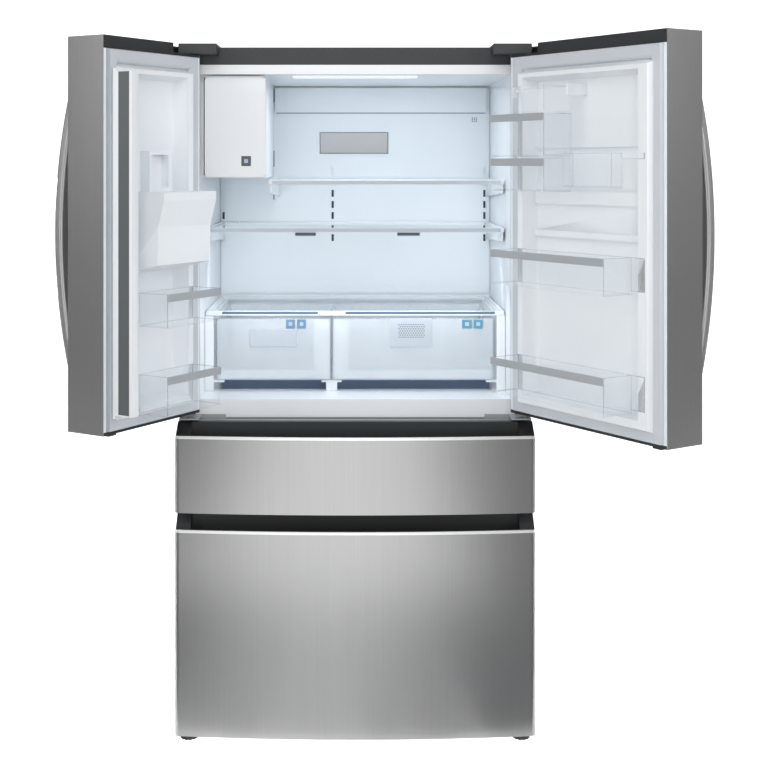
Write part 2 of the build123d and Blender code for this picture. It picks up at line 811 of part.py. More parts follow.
# Door hinges with their pins, and the covers round the top hinges
hinge_plate = 3.0
hinge_outer = half_width - 4
hinge_inner = hinge_outer - 90
hinge_front_y = pin_y - 13
hinge_back_y = 50.0
notch_inner = half_front - 105
notch_floor = door_top - 24
notch_front_y = pin_y - 30
top_pin_low = notch_floor - 22
cover_side = 2.0
cover_low = notch_floor + 3
top_hinge = slab(
    hinge_inner, hinge_outer, hinge_front_y, hinge_back_y, cabinet_top, cabinet_top + hinge_plate
)
hinge_cover = slab(
    notch_inner + 4,
    hinge_outer + cover_side,
    hinge_front_y - cover_side,
    0,
    cover_low,
    cabinet_top + hinge_plate + cover_side,
)
hinge_cover += slab(
    notch_inner + 4,
    hinge_outer + cover_side,
    -1,
    hinge_back_y + 6,
    cabinet_top,
    cabinet_top + hinge_plate + cover_side,
)
hinge_cover = hinge_cover - top_hinge - rod_z(pin_x, pin_y, cover_low - 1, cabinet_top + 1, pin_radius + 0.5)
top_hinge += rod_z(pin_x, pin_y, top_pin_low, cabinet_top + 1, pin_radius)
lower_plate_top = door_bottom - 14
lower_web = 17.0
lower_sheet = 4.0
lower_arm_inner = hinge_outer - 50
lower_web_y = -lower_sheet
lower_hinge = slab(
    hinge_outer - 113, hinge_outer, lower_web_y, 0, lower_plate_top - lower_web, lower_plate_top
)
lower_hinge += slab(
    lower_arm_inner, hinge_outer, pin_y - 15, lower_web_y, lower_plate_top - lower_sheet, lower_plate_top
)
lower_pin_top = door_bottom + 16
lower_hinge += rod_z(pin_x, pin_y, lower_plate_top - 1, lower_pin_top, pin_radius)
save("door_hinges", top_hinge, mirrored(top_hinge), lower_hinge, mirrored(lower_hinge))
save("hinge_covers", hinge_cover, mirrored(hinge_cover))

# Door parts are drawn closed and then swung open about the hinge pins
left_swing = Pos(-pin_x, pin_y, 0) * Rot(0, 0, -left_open_angle) * Pos(pin_x, -pin_y, 0)
right_swing = Pos(pin_x, pin_y, 0) * Rot(0, 0, right_open_angle) * Pos(-pin_x, -pin_y, 0)


def save_left(name, *shapes):
    save(name, *[left_swing * shape for shape in shapes])


def save_right(name, *shapes):
    save(name, *[right_swing * shape for shape in shapes])


liner_low = door_bottom + door_bottom_cap
liner_high = door_top - door_top_cap
boss_side = 36.0
boss_height = 30.0
pin_bore = pin_radius + running_gap
dyke_low = liner_floor + 14
dyke_high = liner_ceiling - 7
dyke_outer_x = liner_half - 8
left_dyke_free_x = left_free_x - 37.5
right_dyke_free_x = right_free_x + 37.5
gasket_hinge_inset = 20.0
gasket_free_inset = 10.0
gasket_width = 18.0
gasket_top = liner_high - 1
gasket_bottom = liner_low + 1
closer_inset = 33.0
closer_half = 13.0
closer_drop = 4.0


def hinge_boss(side, z0, z1):
    low_x = max(side * pin_x - boss_side / 2, -half_front + skin_sheet)
    high_x = min(side * pin_x + boss_side / 2, half_front - skin_sheet)
    return slab(low_x, high_x, pin_y - boss_side / 2, pin_y + boss_side / 2, z0, z1)


def boss_pair(side):
    upper = hinge_boss(side, top_pin_low - 8, liner_high)
    return upper + hinge_boss(side, liner_low, door_bottom + boss_height)


def hinge_notch(side):
    ends = sorted((side * notch_inner, side * (half_front + 1)))
    return slab(ends[0], ends[1], notch_front_y, inner_face_y + 1, notch_floor, door_top + 1)


def top_cap(x0, x1, side):
    cap = door_inside(x0, x1, liner_high, door_top, inner_face_y) - hinge_notch(side)
    cap += hinge_boss(side, top_pin_low - 8, liner_high)
    return cap - rod_z(side * pin_x, pin_y, top_pin_low - 2, door_top + 1, pin_bore)


def bottom_cap(x0, x1, side, closer_x):
    cap = door_inside(x0, x1, door_bottom, liner_low, inner_face_y)
    cap += hinge_boss(side, liner_low, door_bottom + boss_height)
    cap -= rod_z(side * pin_x, pin_y, door_bottom - 1, lower_pin_top + 2, pin_bore)
    closer = slab(
        closer_x - closer_half,
        closer_x + closer_half,
        inner_face_y - 26,
        inner_face_y - 1,
        door_bottom - closer_drop,
        door_bottom,
    )
    return cap + closer


def recess(x0, x1, grow):
    return tapered(
        x0 - grow,
        x1 + grow,
        dyke_low + dyke_width - grow,
        dyke_high - dyke_top_width + grow,
        dyke_front_y + 1,
        recess_y - grow,
        recess_slope,
    )


def dyke_block(x0, x1, shrink):
    return tapered(
        x0 + shrink,
        x1 - shrink,
        dyke_low + shrink,
        dyke_high - shrink,
        inner_face_y - shrink,
        dyke_front_y - shrink,
        dyke_slope,
    )


def seal_ring(x0, x1):
    outer = (x0, x1, gasket_bottom, gasket_top)
    inner = (x0 + gasket_width, x1 - gasket_width, gasket_bottom + gasket_width, gasket_top - gasket_width)
    return ring_plate(outer, inner, inner_face_y, seal_back_y)


def bow_handle(x0, x1):
    half_length = (handle_high - handle_low) / 2
    outer_radius = (half_length ** 2 + handle_standoff ** 2) / (2 * handle_standoff)
    middle_z = (handle_high + handle_low) / 2
    middle_x = (x0 + x1) / 2
    surface_y = bow_center_y - math.sqrt(bow_radius ** 2 - middle_x ** 2)
    center_y = surface_y - handle_standoff + outer_radius
    ring = rod_x(x0, x1, center_y, middle_z, outer_radius)
    ring -= rod_x(x0 - 1, x1 + 1, center_y, middle_z, outer_radius - handle_thick)
    ring = fillet(ring.edges().filter_by(GeomType.CIRCLE), handle_round)
    front_part = slab(
        x0 - 1, x1 + 1, surface_y - 2 * handle_standoff, surface_y + 20, handle_low + 14, handle_high - 14
    )
    return (ring & front_part) - bowed(x0 - 20, x1 + 20, handle_low, handle_high, 0, inner_face_y)


# Door bins with clear walls, a hanging plate on the dykes and a grey band along the front
def door_bin(x0, x1, z0, z1, front_y, hang_x0, hang_x1):
    box = slab(x0, x1, dyke_front_y, front_y, z0, z1)
    box -= slab(
        x0 + bin_wall, x1 - bin_wall, dyke_front_y + bin_wall, front_y - bin_wall, z0 + bin_wall, z1 + 1
    )
    return box + slab(hang_x0, hang_x1, dyke_front_y, dyke_front_y + bin_wall, z0 + 8, z1)


def bin_rim(x0, x1, z1, front_y):
    return slab(x0, x1, front_y, front_y + rim_thick, z1 - rim_band, z1)


# Left door
left_x0 = -half_front
left_x1 = left_free_x
left_dyke_x0 = -dyke_outer_x
left_dyke_x1 = left_dyke_free_x
left_recess_x0 = left_dyke_x0 + dyke_width
left_recess_x1 = left_dyke_x1 - dyke_width

dispenser_left = -half_front + 52
dispenser_width = 224.0
dispenser_low_drop = 689.0
dispenser_high_drop = 289.0
dispenser_right = dispenser_left + dispenser_width
dispenser_low = door_top - dispenser_low_drop
dispenser_high = door_top - dispenser_high_drop
dispenser_back = -42.0
dispenser_proud = 2.5
niche_left = dispenser_left + 12
niche_right = dispenser_right - 12
niche_low = dispenser_low + 22
niche_high = dispenser_high - 118
niche_back = dispenser_back - 3
dispenser_room = bowed(
    dispenser_left, dispenser_right, dispenser_low, dispenser_high, -dispenser_proud, dispenser_back
)

housing_left = -dyke_outer_x + 2
housing_right = left_dyke_free_x - 62.5
housing_drop = 298.0
housing_top = liner_ceiling - housing_drop
housing_height = 196.0
housing_low = housing_top - housing_height
housing_reach = inner_face_y + 98


def dispenser_housing(shrink):
    corners = [
        (recess_y - 5, housing_top - shrink),
        (housing_reach - shrink, housing_top - shrink),
        (housing_reach - shrink, housing_top - 20),
        (housing_reach - 18 - shrink, housing_top - 82),
        (housing_reach - 20 - shrink, housing_low + 24 + shrink),
        (recess_y - 5, housing_low + shrink),
    ]
    return prism_x(housing_left + shrink, housing_right - shrink, corners)


mullion_x = left_free_x - 22.5
mullion_half = 11.0
mullion_y = mullion_half + seal_clearance
mullion_reach = 54.0
mullion_low = dyke_low + 11
mullion_high = dyke_high - 10
mullion_pin = 3.0
mullion_gap = 0.5
lug_height = 8.0
chute_right = housing_right - 52
chute_left = chute_right - 80
chute_front = inner_face_y + 11
chute_top = housing_top + 98
chute_wall = 9.0

left_body = door_inside(left_x0, left_x1, liner_low, liner_high, inner_face_y)
left_body += dyke_block(left_dyke_x0, left_dyke_x1, 0)
left_body -= recess(left_recess_x0, left_recess_x1, 0)
left_body += dispenser_housing(0)
left_foam = door_inside(left_x0, left_x1, liner_low, liner_high, inner_face_y - door_sheet)
left_foam += dyke_block(left_dyke_x0, left_dyke_x1, door_sheet)
left_foam -= recess(left_recess_x0, left_recess_x1, door_sheet)
left_foam += dispenser_housing(door_sheet)
left_liner = left_body - left_foam
chute = slab(chute_left, chute_right, recess_y, chute_front, housing_top, chute_top)
chute -= slab(
    chute_left + chute_wall,
    chute_right - chute_wall,
    recess_y + 6,
    chute_front + 1,
    housing_top + chute_wall,
    chute_top - chute_wall,
)
left_liner += chute
for lug_side in (-1, 1):
    lug_face = mullion_high + mullion_gap if lug_side > 0 else mullion_low - mullion_gap
    lug_ends = sorted((lug_face, lug_face + lug_side * lug_height))
    pin_ends = sorted((lug_face, lug_face - lug_side * 14))
    left_liner += slab(
        left_dyke_x1 + 0.5, mullion_x + 8, mullion_y - 7, dyke_front_y - 1, lug_ends[0], lug_ends[1]
    )
    left_liner += rod_z(mullion_x, mullion_y, pin_ends[0], pin_ends[1], mullion_pin)
left_foam = left_foam - dispenser_room - boss_pair(-1)
left_skin = front_skin(left_x0, left_x1, door_bottom, door_top) - dispenser_room - hinge_notch(-1)
left_closer_x = left_free_x - closer_inset
save_left("left_door_skin", left_skin)
save_left("left_door_caps", top_cap(left_x0, left_x1, -1), bottom_cap(left_x0, left_x1, -1, left_closer_x))
save_left("left_door_liner", left_liner)
save_left("left_door_foam", left_foam)
save_left("left_door_gasket", seal_ring(left_x0 + gasket_hinge_inset, left_x1 - gasket_free_inset))
left_handle_x1 = left_free_x - handle_edge_gap
save_left("left_door_handle", bow_handle(left_handle_x1 - handle_width, left_handle_x1))

left_bin_x0 = -dyke_outer_x + 4
left_bin_x1 = left_dyke_free_x - 58.5
left_bin_room = housing_low - dyke_low
left_upper_low = dyke_low + 0.633 * left_bin_room
left_upper_rim = dyke_low + 0.873 * left_bin_room
left_lower_low = dyke_low + 2
left_lower_rim = dyke_low + 0.288 * left_bin_room
left_hang_x0 = left_dyke_x0 + 2
left_hang_x1 = left_dyke_x1 - 6
left_bin_1 = door_bin(
    left_bin_x0, left_bin_x1, left_upper_low, left_upper_rim, bin_front_y, left_hang_x0, left_hang_x1
)
left_bin_2 = door_bin(
    left_bin_x0, left_bin_x1, left_lower_low, left_lower_rim, bin_front_y, left_hang_x0, left_hang_x1
)
save_left("left_door_bins", left_bin_1, left_bin_2)
save_left(
    "left_bin_rims",
    bin_rim(left_bin_x0, left_bin_x1, left_upper_rim, bin_front_y),
    bin_rim(left_bin_x0, left_bin_x1, left_lower_rim, bin_front_y),
)

# Folding mullion: drawn across the gap between the doors, then folded back and swung with the door
mullion = slab(
    mullion_x,
    mullion_x + mullion_reach,
    mullion_y - mullion_half,
    mullion_y + mullion_half,
    mullion_low,
    mullion_high,
)
mullion += rod_z(mullion_x, mullion_y, mullion_low, mullion_high, mullion_half)
mullion -= rod_z(mullion_x, mullion_y, mullion_high - 16, mullion_high + 1, mullion_pin + running_gap)
mullion -= rod_z(mullion_x, mullion_y, mullion_low - 1, mullion_low + 16, mullion_pin + running_gap)
mullion_fold = Pos(mullion_x, mullion_y, 0) * Rot(0, 0, 90) * Pos(-mullion_x, -mullion_y, 0)
save_left("mullion_bar", mullion_fold * mullion)

# Dispenser on the outside of the left door: bezel with niche, spout and tray, and the paddle
paddle_half = 26.0
paddle_x = (niche_left + niche_right) / 2
paddle_y = niche_back - 18
paddle_z = niche_high - 26
paddle_pin = 3.0
paddle_play = 0.5
paddle_lug = 8.0
bezel = dispenser_room - slab(niche_left, niche_right, -200, niche_back, niche_low, niche_high)
lug_inner = paddle_half + paddle_play
for paddle_side in (-1, 1):
    ear = sorted((paddle_x + paddle_side * lug_inner, paddle_x + paddle_side * (lug_inner + paddle_lug)))
    bezel += slab(ear[0], ear[1], paddle_y - 8, paddle_y + 8, paddle_z - 9, niche_high)
bezel -= rod_x(paddle_x - 60, paddle_x + 60, paddle_y, paddle_z, paddle_pin + running_gap)
bezel += rod_z(paddle_x, paddle_y - 34, niche_high - 18, niche_high, 20)
tray_slot = 8.0
for index in range(7):
    tray_x = niche_left + 32 + index * 21
    bezel -= slab(tray_x, tray_x + tray_slot, -100, niche_back - 8, niche_low - 6, niche_low + 1)
save_left("dispenser_bezel", bezel)
paddle = rod_x(paddle_x - paddle_half, paddle_x + paddle_half, paddle_y, paddle_z, 7)
paddle += slab(
    paddle_x - paddle_half, paddle_x + paddle_half, paddle_y - 7, paddle_y - 1, paddle_z - 120, paddle_z
)
paddle += rod_x(
    paddle_x - lug_inner - paddle_lug + 1,
    paddle_x + lug_inner + paddle_lug - 1, paddle_y, paddle_z, paddle_pin
)
save_left("dispenser_paddle", paddle)

# Right door
right_x0 = right_free_x
right_x1 = half_front
right_dyke_x0 = right_dyke_free_x
right_dyke_x1 = dyke_outer_x
right_recess_x0 = right_dyke_x0 + dyke_width + 10
right_recess_x1 = right_dyke_x1 - dyke_width
small_bin_x1 = dyke_outer_x - 4
small_bin_x0 = small_bin_x1 - 194
wide_bin_x0 = right_dyke_free_x + 45.5
lid_axis_y = dyke_front_y + 12
lid_axis_z = liner_ceiling - 53
lid_pin = 3.0
lid_play = 0.5
lid_wall = 3.0
lid_top = lid_axis_z + 8
lid_low = lid_axis_z - 55
top_rim = lid_low - 3
second_rim = top_rim - 107
clear_rim = top_rim - 95
wide_upper_rise = 397.0
wide_lower_rise = 133.0
wide_upper_rim = liner_floor + wide_upper_rise
wide_lower_rim = liner_floor + wide_lower_rise
lid_x0 = small_bin_x0
lid_x1 = small_bin_x1 - 4
rib_thick = 6.0
rib_x1 = lid_x0 - lid_play
rib_x0 = rib_x1 - rib_thick

right_body = door_inside(right_x0, right_x1, liner_low, liner_high, inner_face_y)
right_body += dyke_block(right_dyke_x0, right_dyke_x1, 0)
right_body -= recess(right_recess_x0, right_recess_x1, 0)
right_foam = door_inside(right_x0, right_x1, liner_low, liner_high, inner_face_y - door_sheet)
right_foam += dyke_block(right_dyke_x0, right_dyke_x1, door_sheet)
right_foam -= recess(right_recess_x0, right_recess_x1, door_sheet)
right_liner = right_body - right_foam
right_liner += slab(rib_x0, rib_x1, recess_y, lid_axis_y + 7, lid_axis_z - 14, lid_axis_z + 12)
right_liner += rod_x(rib_x1 - 1, rib_x1 + lid_play + 5, lid_axis_y, lid_axis_z, lid_pin)
right_liner += slab(
    lid_x1 + lid_play, lid_x1 + lid_play + 5, dyke_front_y, lid_axis_y + 7, lid_axis_z - 14, lid_axis_z + 12
)
right_liner += rod_x(lid_x1 - 5, lid_x1 + lid_play + 1, lid_axis_y, lid_axis_z, lid_pin)
ledge_depth = 10.0
ledge_back = recess_y + ledge_depth
ledge_one = clear_rim + 14
ledge_two = wide_upper_rim + 112
ledge_three = wide_upper_rim + 31
right_liner += slab(right_recess_x0, right_recess_x1, recess_y, ledge_back, ledge_one, ledge_one + 12)
right_liner += slab(right_recess_x0, right_recess_x1, recess_y, ledge_back, ledge_two, ledge_two + 32)
right_liner += slab(right_recess_x0, right_recess_x1, recess_y, ledge_back, ledge_three, ledge_three + 16)
right_foam = right_foam - boss_pair(1)
right_closer_x = right_free_x + closer_inset
save_right("right_door_skin", front_skin(right_x0, right_x1, door_bottom, door_top) - hinge_notch(1))
save_right(
    "right_door_caps", top_cap(right_x0, right_x1, 1), bottom_cap(right_x0, right_x1, 1, right_closer_x)
)
save_right("right_door_liner", right_liner)
save_right("right_door_foam", right_foam)
save_right("right_door_gasket", seal_ring(right_x0 + gasket_free_inset, right_x1 - gasket_hinge_inset))
right_handle_x0 = right_free_x + handle_edge_gap
save_right("right_door_handle", bow_handle(right_handle_x0, right_handle_x0 + handle_width))

right_hang_x0 = right_dyke_x0 + 6
right_hang_x1 = right_dyke_x1 - 2
top_bin = door_bin(
    small_bin_x0, small_bin_x1, top_rim - 102, top_rim, bin_front_y, small_bin_x0, right_hang_x1
)
second_bin = door_bin(
    small_bin_x0, small_bin_x1, second_rim - 79, second_rim, bin_front_y, small_bin_x0, right_hang_x1
)
clear_box_x0 = wide_bin_x0 + 30
clear_box_x1 = small_bin_x0 - 4
clear_front_y = inner_face_y + 60
clear_box = door_bin(
    clear_box_x0, clear_box_x1, clear_rim - 80, clear_rim, clear_front_y, clear_box_x0, clear_box_x1
)
clear_box += slab(
    right_hang_x0, clear_box_x0 + 1, dyke_front_y, dyke_front_y + bin_wall, clear_rim - 14, clear_rim
)
wide_bin_1 = door_bin(
    wide_bin_x0, small_bin_x1, wide_upper_rim - 84, wide_upper_rim, bin_front_y, right_hang_x0, right_hang_x1
)
wide_bin_2 = door_bin(
    wide_bin_x0, small_bin_x1, wide_lower_rim - 87, wide_lower_rim, bin_front_y, right_hang_x0, right_hang_x1
)
save_right("right_door_bins", top_bin, second_bin, clear_box, wide_bin_1, wide_bin_2)
save_right(
    "right_bin_rims",
    bin_rim(small_bin_x0, small_bin_x1, top_rim, bin_front_y),
    bin_rim(small_bin_x0, small_bin_x1, second_rim, bin_front_y),
    bin_rim(wide_bin_x0, small_bin_x1, wide_upper_rim, bin_front_y),
    bin_rim(wide_bin_x0, small_bin_x1, wide_lower_rim, bin_front_y),
)

# Lid over the top bin, hinged at its upper back edge
lid = slab(lid_x0, lid_x1, lid_axis_y - 6, bin_front_y, lid_low, lid_top)
lid -= slab(
    lid_x0 + lid_wall, lid_x1 - lid_wall, lid_axis_y - 7,
    bin_front_y - lid_wall, lid_low - 1, lid_top - lid_wall
)
lid -= rod_x(lid_x0 - 1, lid_x0 + lid_wall + 1, lid_axis_y, lid_axis_z, lid_pin + running_gap)
lid -= rod_x(lid_x1 - lid_wall - 1, lid_x1 + 1, lid_axis_y, lid_axis_z, lid_pin + running_gap)
save_right("dairy_lid", lid)


pocket_half = half_front - pocket_end


# Drawer fronts: bowed skin, bright lip, dark pocket cap and foamed core
def drawer_cap(lip_top, cap_top):
    cap_low = lip_top - scoop_depth - cap_base
    cap = door_inside(-half_front, half_front, cap_low, cap_top, inner_face_y)
    slope = [
        (front_most_y - 60, lip_top),
        (front_corner_y + 10, lip_top),
        (pocket_back_y, cap_top),
        (pocket_back_y, cap_top + 40),
        (front_most_y - 60, cap_top + 40),
    ]
    cap -= prism_x(-half_front, half_front, slope)
    cap -= bowed(-pocket_half, pocket_half, lip_top - pocket_depth, cap_top + 1, pocket_wall, pocket_back_y)
    cap -= bowed(-scoop_half, scoop_half, lip_top - scoop_depth, cap_top + 1, pocket_wall, pocket_back_y)
    return cap - drawer_lip(lip_top)


def drawer_lip(lip_top):
    low = lip_top - lip_height
    lip = rounded_bowed(-half_front, half_front, low, lip_top, 0, inner_face_y)
    lip -= bowed(-half_front - 1, half_front + 1, low - 1, lip_top + 1, lip_depth, inner_face_y + 1)
    return lip & slab(-half_front, half_front, front_most_y - 1, front_corner_y + 24, low, lip_top)


def drawer_core(low, lip_top):
    return door_inside(-half_front, half_front, low, lip_top - scoop_depth - cap_base, inner_face_y)


def drawer_skin(low, lip_top):
    return front_skin(-half_front, half_front, low, lip_top - lip_height)


drawer_seal_half = half_front - 20
drawer_seal_width = 16.0


def drawer_seal(low, high):
    outer = (-drawer_seal_half, drawer_seal_half, low, high)
    inner = (
        -drawer_seal_half + drawer_seal_width,
        drawer_seal_half - drawer_seal_width,
        low + drawer_seal_width,
        high - drawer_seal_width,
    )
    return ring_plate(outer, inner, inner_face_y, seal_back_y)


# Telescopic runners: a channel on the liner, a middle channel and a channel on the drawer box
def runner_channel(web_x, web_dir, reach, half, z, y0, y1):
    web_ends = sorted((web_x, web_x + web_dir * runner_sheet))
    arm_ends = sorted((web_x, web_x + web_dir * reach))
    channel = slab(web_ends[0], web_ends[1], y0, y1, z - half, z + half)
    channel += slab(arm_ends[0], arm_ends[1], y0, y1, z + half - runner_sheet, z + half)
    channel += slab(arm_ends[0], arm_ends[1], y0, y1, z - half, z - half + runner_sheet)
    return channel


fixed_reach = 16.0
middle_reach = 17.0
middle_web_x = liner_half - runner_sheet - runner_gap
middle_half = runner_half - runner_sheet - runner_gap
drawer_half = middle_half - runner_sheet - runner_gap
drawer_reach = middle_web_x - runner_sheet - runner_gap - box_half


def fixed_runner(z):
    return runner_channel(liner_half, -1, fixed_reach, runner_half, z, runner_front, runner_back)


def middle_runner(z):
    return runner_channel(middle_web_x, -1, middle_reach, middle_half, z, runner_front, runner_back - 2)


def drawer_runner(z):
    return runner_channel(box_half, 1, drawer_reach, drawer_half, z, runner_front, runner_back - 6)


flex_fixed = fixed_runner(flex_runner_z)
freezer_fixed = fixed_runner(freezer_runner_z)
save("runner_rails", flex_fixed, mirrored(flex_fixed), freezer_fixed, mirrored(freezer_fixed))
flex_middle = middle_runner(flex_runner_z)
save("flex_runner_middle", flex_middle, mirrored(flex_middle))
freezer_middle = middle_runner(freezer_runner_z)
save("freezer_runner_middle", freezer_middle, mirrored(freezer_middle))

# Flex drawer
box_wall = 3.0
flex_box_low = flex_floor + 12
flex_box_high = flex_ceiling - 14
flex_box_short = 103.0
flex_box_back = flex_back - flex_box_short
save("flex_front", drawer_skin(flex_front_bottom, flex_lip_top))
save("flex_trim", drawer_lip(flex_lip_top))
save("flex_cap", drawer_cap(flex_lip_top, flex_cap_top))
save("flex_core", drawer_core(flex_front_bottom, flex_lip_top))
save("flex_gasket", drawer_seal(flex_front_bottom + 8, flex_rim_top + 12))


def drawer_box(low, high, back, runner_z):
    box = slab(-box_half, box_half, inner_face_y, back, low, high)
    box -= slab(
        -box_half + box_wall, box_half - box_wall, inner_face_y + box_wall,
        back - box_wall, low + box_wall, high + 1
    )
    runner = drawer_runner(runner_z)
    return box + runner + mirrored(runner)


save("flex_box", drawer_box(flex_box_low, flex_box_high, flex_box_back, flex_runner_z))

# Freezer drawer with an upper basket that slides on the box rims
freezer_box_low = freezer_floor + 16
freezer_box_rise = 28.0
freezer_box_high = freezer_runner_z + freezer_box_rise
freezer_box_back = freezer_step_y - 10
save("freezer_front", drawer_skin(freezer_front_bottom, freezer_lip_top))
save("freezer_trim", drawer_lip(freezer_lip_top))
save("freezer_cap", drawer_cap(freezer_lip_top, freezer_cap_top))
save("freezer_core", drawer_core(freezer_front_bottom, freezer_lip_top))
save("freezer_gasket", drawer_seal(freezer_floor - 20, freezer_rim_top + 8))
save("freezer_box", drawer_box(freezer_box_low, freezer_box_high, freezer_box_back, freezer_runner_z))
basket_half = box_half - box_wall - 4
basket_front = 4.0
basket_short = 171.0
basket_drop = 94.0
basket_rise = 56.0
basket_back = freezer_box_back - basket_short
basket_rim = freezer_box_high + 0.5
basket_low = freezer_box_high - basket_drop
basket_high = freezer_box_high + basket_rise
freezer_basket = slab(-basket_half, basket_half, basket_front, basket_back, basket_low, basket_high)
freezer_basket -= slab(
    -basket_half + box_wall,
    basket_half - box_wall,
    basket_front + box_wall,
    basket_back - box_wall,
    basket_low + box_wall,
    basket_high + 1,
)
for rim_sign in (-1, 1):
    rim_ends = sorted((rim_sign * (basket_half - 1), rim_sign * (box_half + 1)))
    freezer_basket += slab(rim_ends[0], rim_ends[1], basket_front, basket_back, basket_rim, basket_rim + 4)
save("freezer_basket", freezer_basket)
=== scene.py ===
import json
import math

import bmesh
import bpy
from mathutils import Matrix, Vector


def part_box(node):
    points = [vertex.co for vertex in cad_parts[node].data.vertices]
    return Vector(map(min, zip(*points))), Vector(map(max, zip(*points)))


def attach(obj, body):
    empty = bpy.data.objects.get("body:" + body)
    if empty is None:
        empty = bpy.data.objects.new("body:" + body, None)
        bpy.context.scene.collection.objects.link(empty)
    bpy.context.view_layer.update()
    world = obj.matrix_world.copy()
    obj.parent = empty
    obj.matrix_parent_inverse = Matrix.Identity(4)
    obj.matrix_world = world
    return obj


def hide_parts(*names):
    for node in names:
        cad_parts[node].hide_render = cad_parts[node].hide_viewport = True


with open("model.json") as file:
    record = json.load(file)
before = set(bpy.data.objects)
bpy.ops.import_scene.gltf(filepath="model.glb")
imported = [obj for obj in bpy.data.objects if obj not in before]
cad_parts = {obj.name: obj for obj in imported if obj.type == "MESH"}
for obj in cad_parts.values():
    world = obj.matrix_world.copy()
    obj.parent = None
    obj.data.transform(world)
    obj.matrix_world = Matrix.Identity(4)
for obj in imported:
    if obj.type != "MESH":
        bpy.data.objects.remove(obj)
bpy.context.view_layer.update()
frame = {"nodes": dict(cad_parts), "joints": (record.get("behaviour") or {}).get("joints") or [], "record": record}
nodes = frame["nodes"]
joints = {joint["name"]: joint for joint in frame["joints"]}

# Lengths that the pieces share with the solids, in millimetres, doors drawn closed
half_front = 452.0
front_bow = 24.0
front_plane = -125.0
inner_face = -12.0
left_free = -92.0
right_free = -87.0
seal_back = -0.5
seal_low = 857.0
seal_high = 1747.0
seal_width = 33.0
drawer_seal_width = 16.0
shelf_front = 122.0
cover_top = 1086.0
crisper_front = 124.0
crisper_low = 901.0
crisper_high = 1066.0
ice_bin_front = 18.0
panel_front = 540.0
slot_face = panel_front + 1.5


def srgb(code):
    """Linear colour with full alpha from a hex code in sRGB."""
    values = [int(code[i : i + 2], 16) / 255 for i in (1, 3, 5)]
    return [v / 12.92 if v <= 0.04045 else ((v + 0.055) / 1.055) ** 2.4 for v in values] + [1.0]


def per_mm(size):
    """Texture scale in metres that gives one feature per size in millimetres."""
    return 1000.0 / size


def add(tree, kind, links=None, **settings):
    """Adds one node, sets its fields and sockets, and links its inputs."""
    item = tree.nodes.new(kind)
    for key, value in settings.items():
        if hasattr(item, key):
            setattr(item, key, value)
        else:
            item.inputs[key.replace("_", " ")].default_value = value
    for socket, (source, output) in (links or {}).items():
        tree.links.new(source.outputs[output], item.inputs[socket])
    return item


def finish_of(name, colour, **sockets):
    """A material with its tree and its shader; sockets are numbers that hold all over the surface."""
    material = bpy.data.materials.new(name)
    material.use_nodes = True
    tree = material.node_tree
    shader = tree.nodes["Principled BSDF"]
    shader.inputs["Base Color"].default_value = srgb(colour)
    for key, value in sockets.items():
        shader.inputs[key.replace("_", " ")].default_value = value
    return material, tree, shader


def moulded(name, colour, shade, roughness, grain, height, **sockets):
    """Injection moulded or painted surface: a fine spark-eroded grain and a faint drift of tone."""
    material, tree, shader = finish_of(name, colour, Roughness=roughness, **sockets)
    place = add(tree, "ShaderNodeTexCoord")
    fine = add(tree, "ShaderNodeTexNoise", {"Vector": (place, "Object")}, Scale=per_mm(grain), Detail=3.0)
    broad = add(tree, "ShaderNodeTexNoise", {"Vector": (place, "Object")}, Scale=per_mm(180.0), Detail=2.0)
    tone = add(tree, "ShaderNodeMix", {"Factor": (broad, "Fac")}, data_type="RGBA")
    tone.inputs["A"].default_value = srgb(colour)
    tone.inputs["B"].default_value = srgb(shade)
    gloss = add(
        tree, "ShaderNodeMapRange", {"Value": (fine, "Fac")}, To_Min=roughness * 0.85, To_Max=roughness * 1.15
    )
    bump = add(tree, "ShaderNodeBump", {"Height": (fine, "Fac")}, Strength=0.35, Distance=height / 1000.0)
    tree.links.new(tone.outputs["Result"], shader.inputs["Base Color"])
    tree.links.new(gloss.outputs["Result"], shader.inputs["Roughness"])
    tree.links.new(bump.outputs["Normal"], shader.inputs["Normal"])
    return material


def brushed(name, colour, shade, roughness, line, length, anisotropy):
    """Metal sheet with a grain: fine lines, longer upright, that stretch a highlight sideways."""
    material, tree, shader = finish_of(name, colour, Metallic=1.0, Roughness=roughness, Anisotropic=anisotropy)
    place = add(tree, "ShaderNodeTexCoord")
    along = add(tree, "ShaderNodeMapping", {"Vector": (place, "Object")})
    along.inputs["Scale"].default_value = (per_mm(line), per_mm(line), per_mm(length))
    lines = add(tree, "ShaderNodeTexNoise", {"Vector": (along, "Vector")}, Scale=1.0, Detail=4.0)
    tone = add(tree, "ShaderNodeMix", {"Factor": (lines, "Fac")}, data_type="RGBA")
    tone.inputs["A"].default_value = srgb(colour)
    tone.inputs["B"].default_value = srgb(shade)
    gloss = add(
        tree, "ShaderNodeMapRange", {"Value": (lines, "Fac")}, To_Min=roughness * 0.85, To_Max=roughness * 1.15
    )
    bump = add(tree, "ShaderNodeBump", {"Height": (lines, "Fac")}, Strength=0.15, Distance=0.00003)
    turn = add(tree, "ShaderNodeTangent", direction_type="RADIAL", axis="Z")
    tree.links.new(tone.outputs["Result"], shader.inputs["Base Color"])
    tree.links.new(gloss.outputs["Result"], shader.inputs["Roughness"])
    tree.links.new(bump.outputs["Normal"], shader.inputs["Normal"])
    tree.links.new(turn.outputs["Tangent"], shader.inputs["Tangent"])
    return material


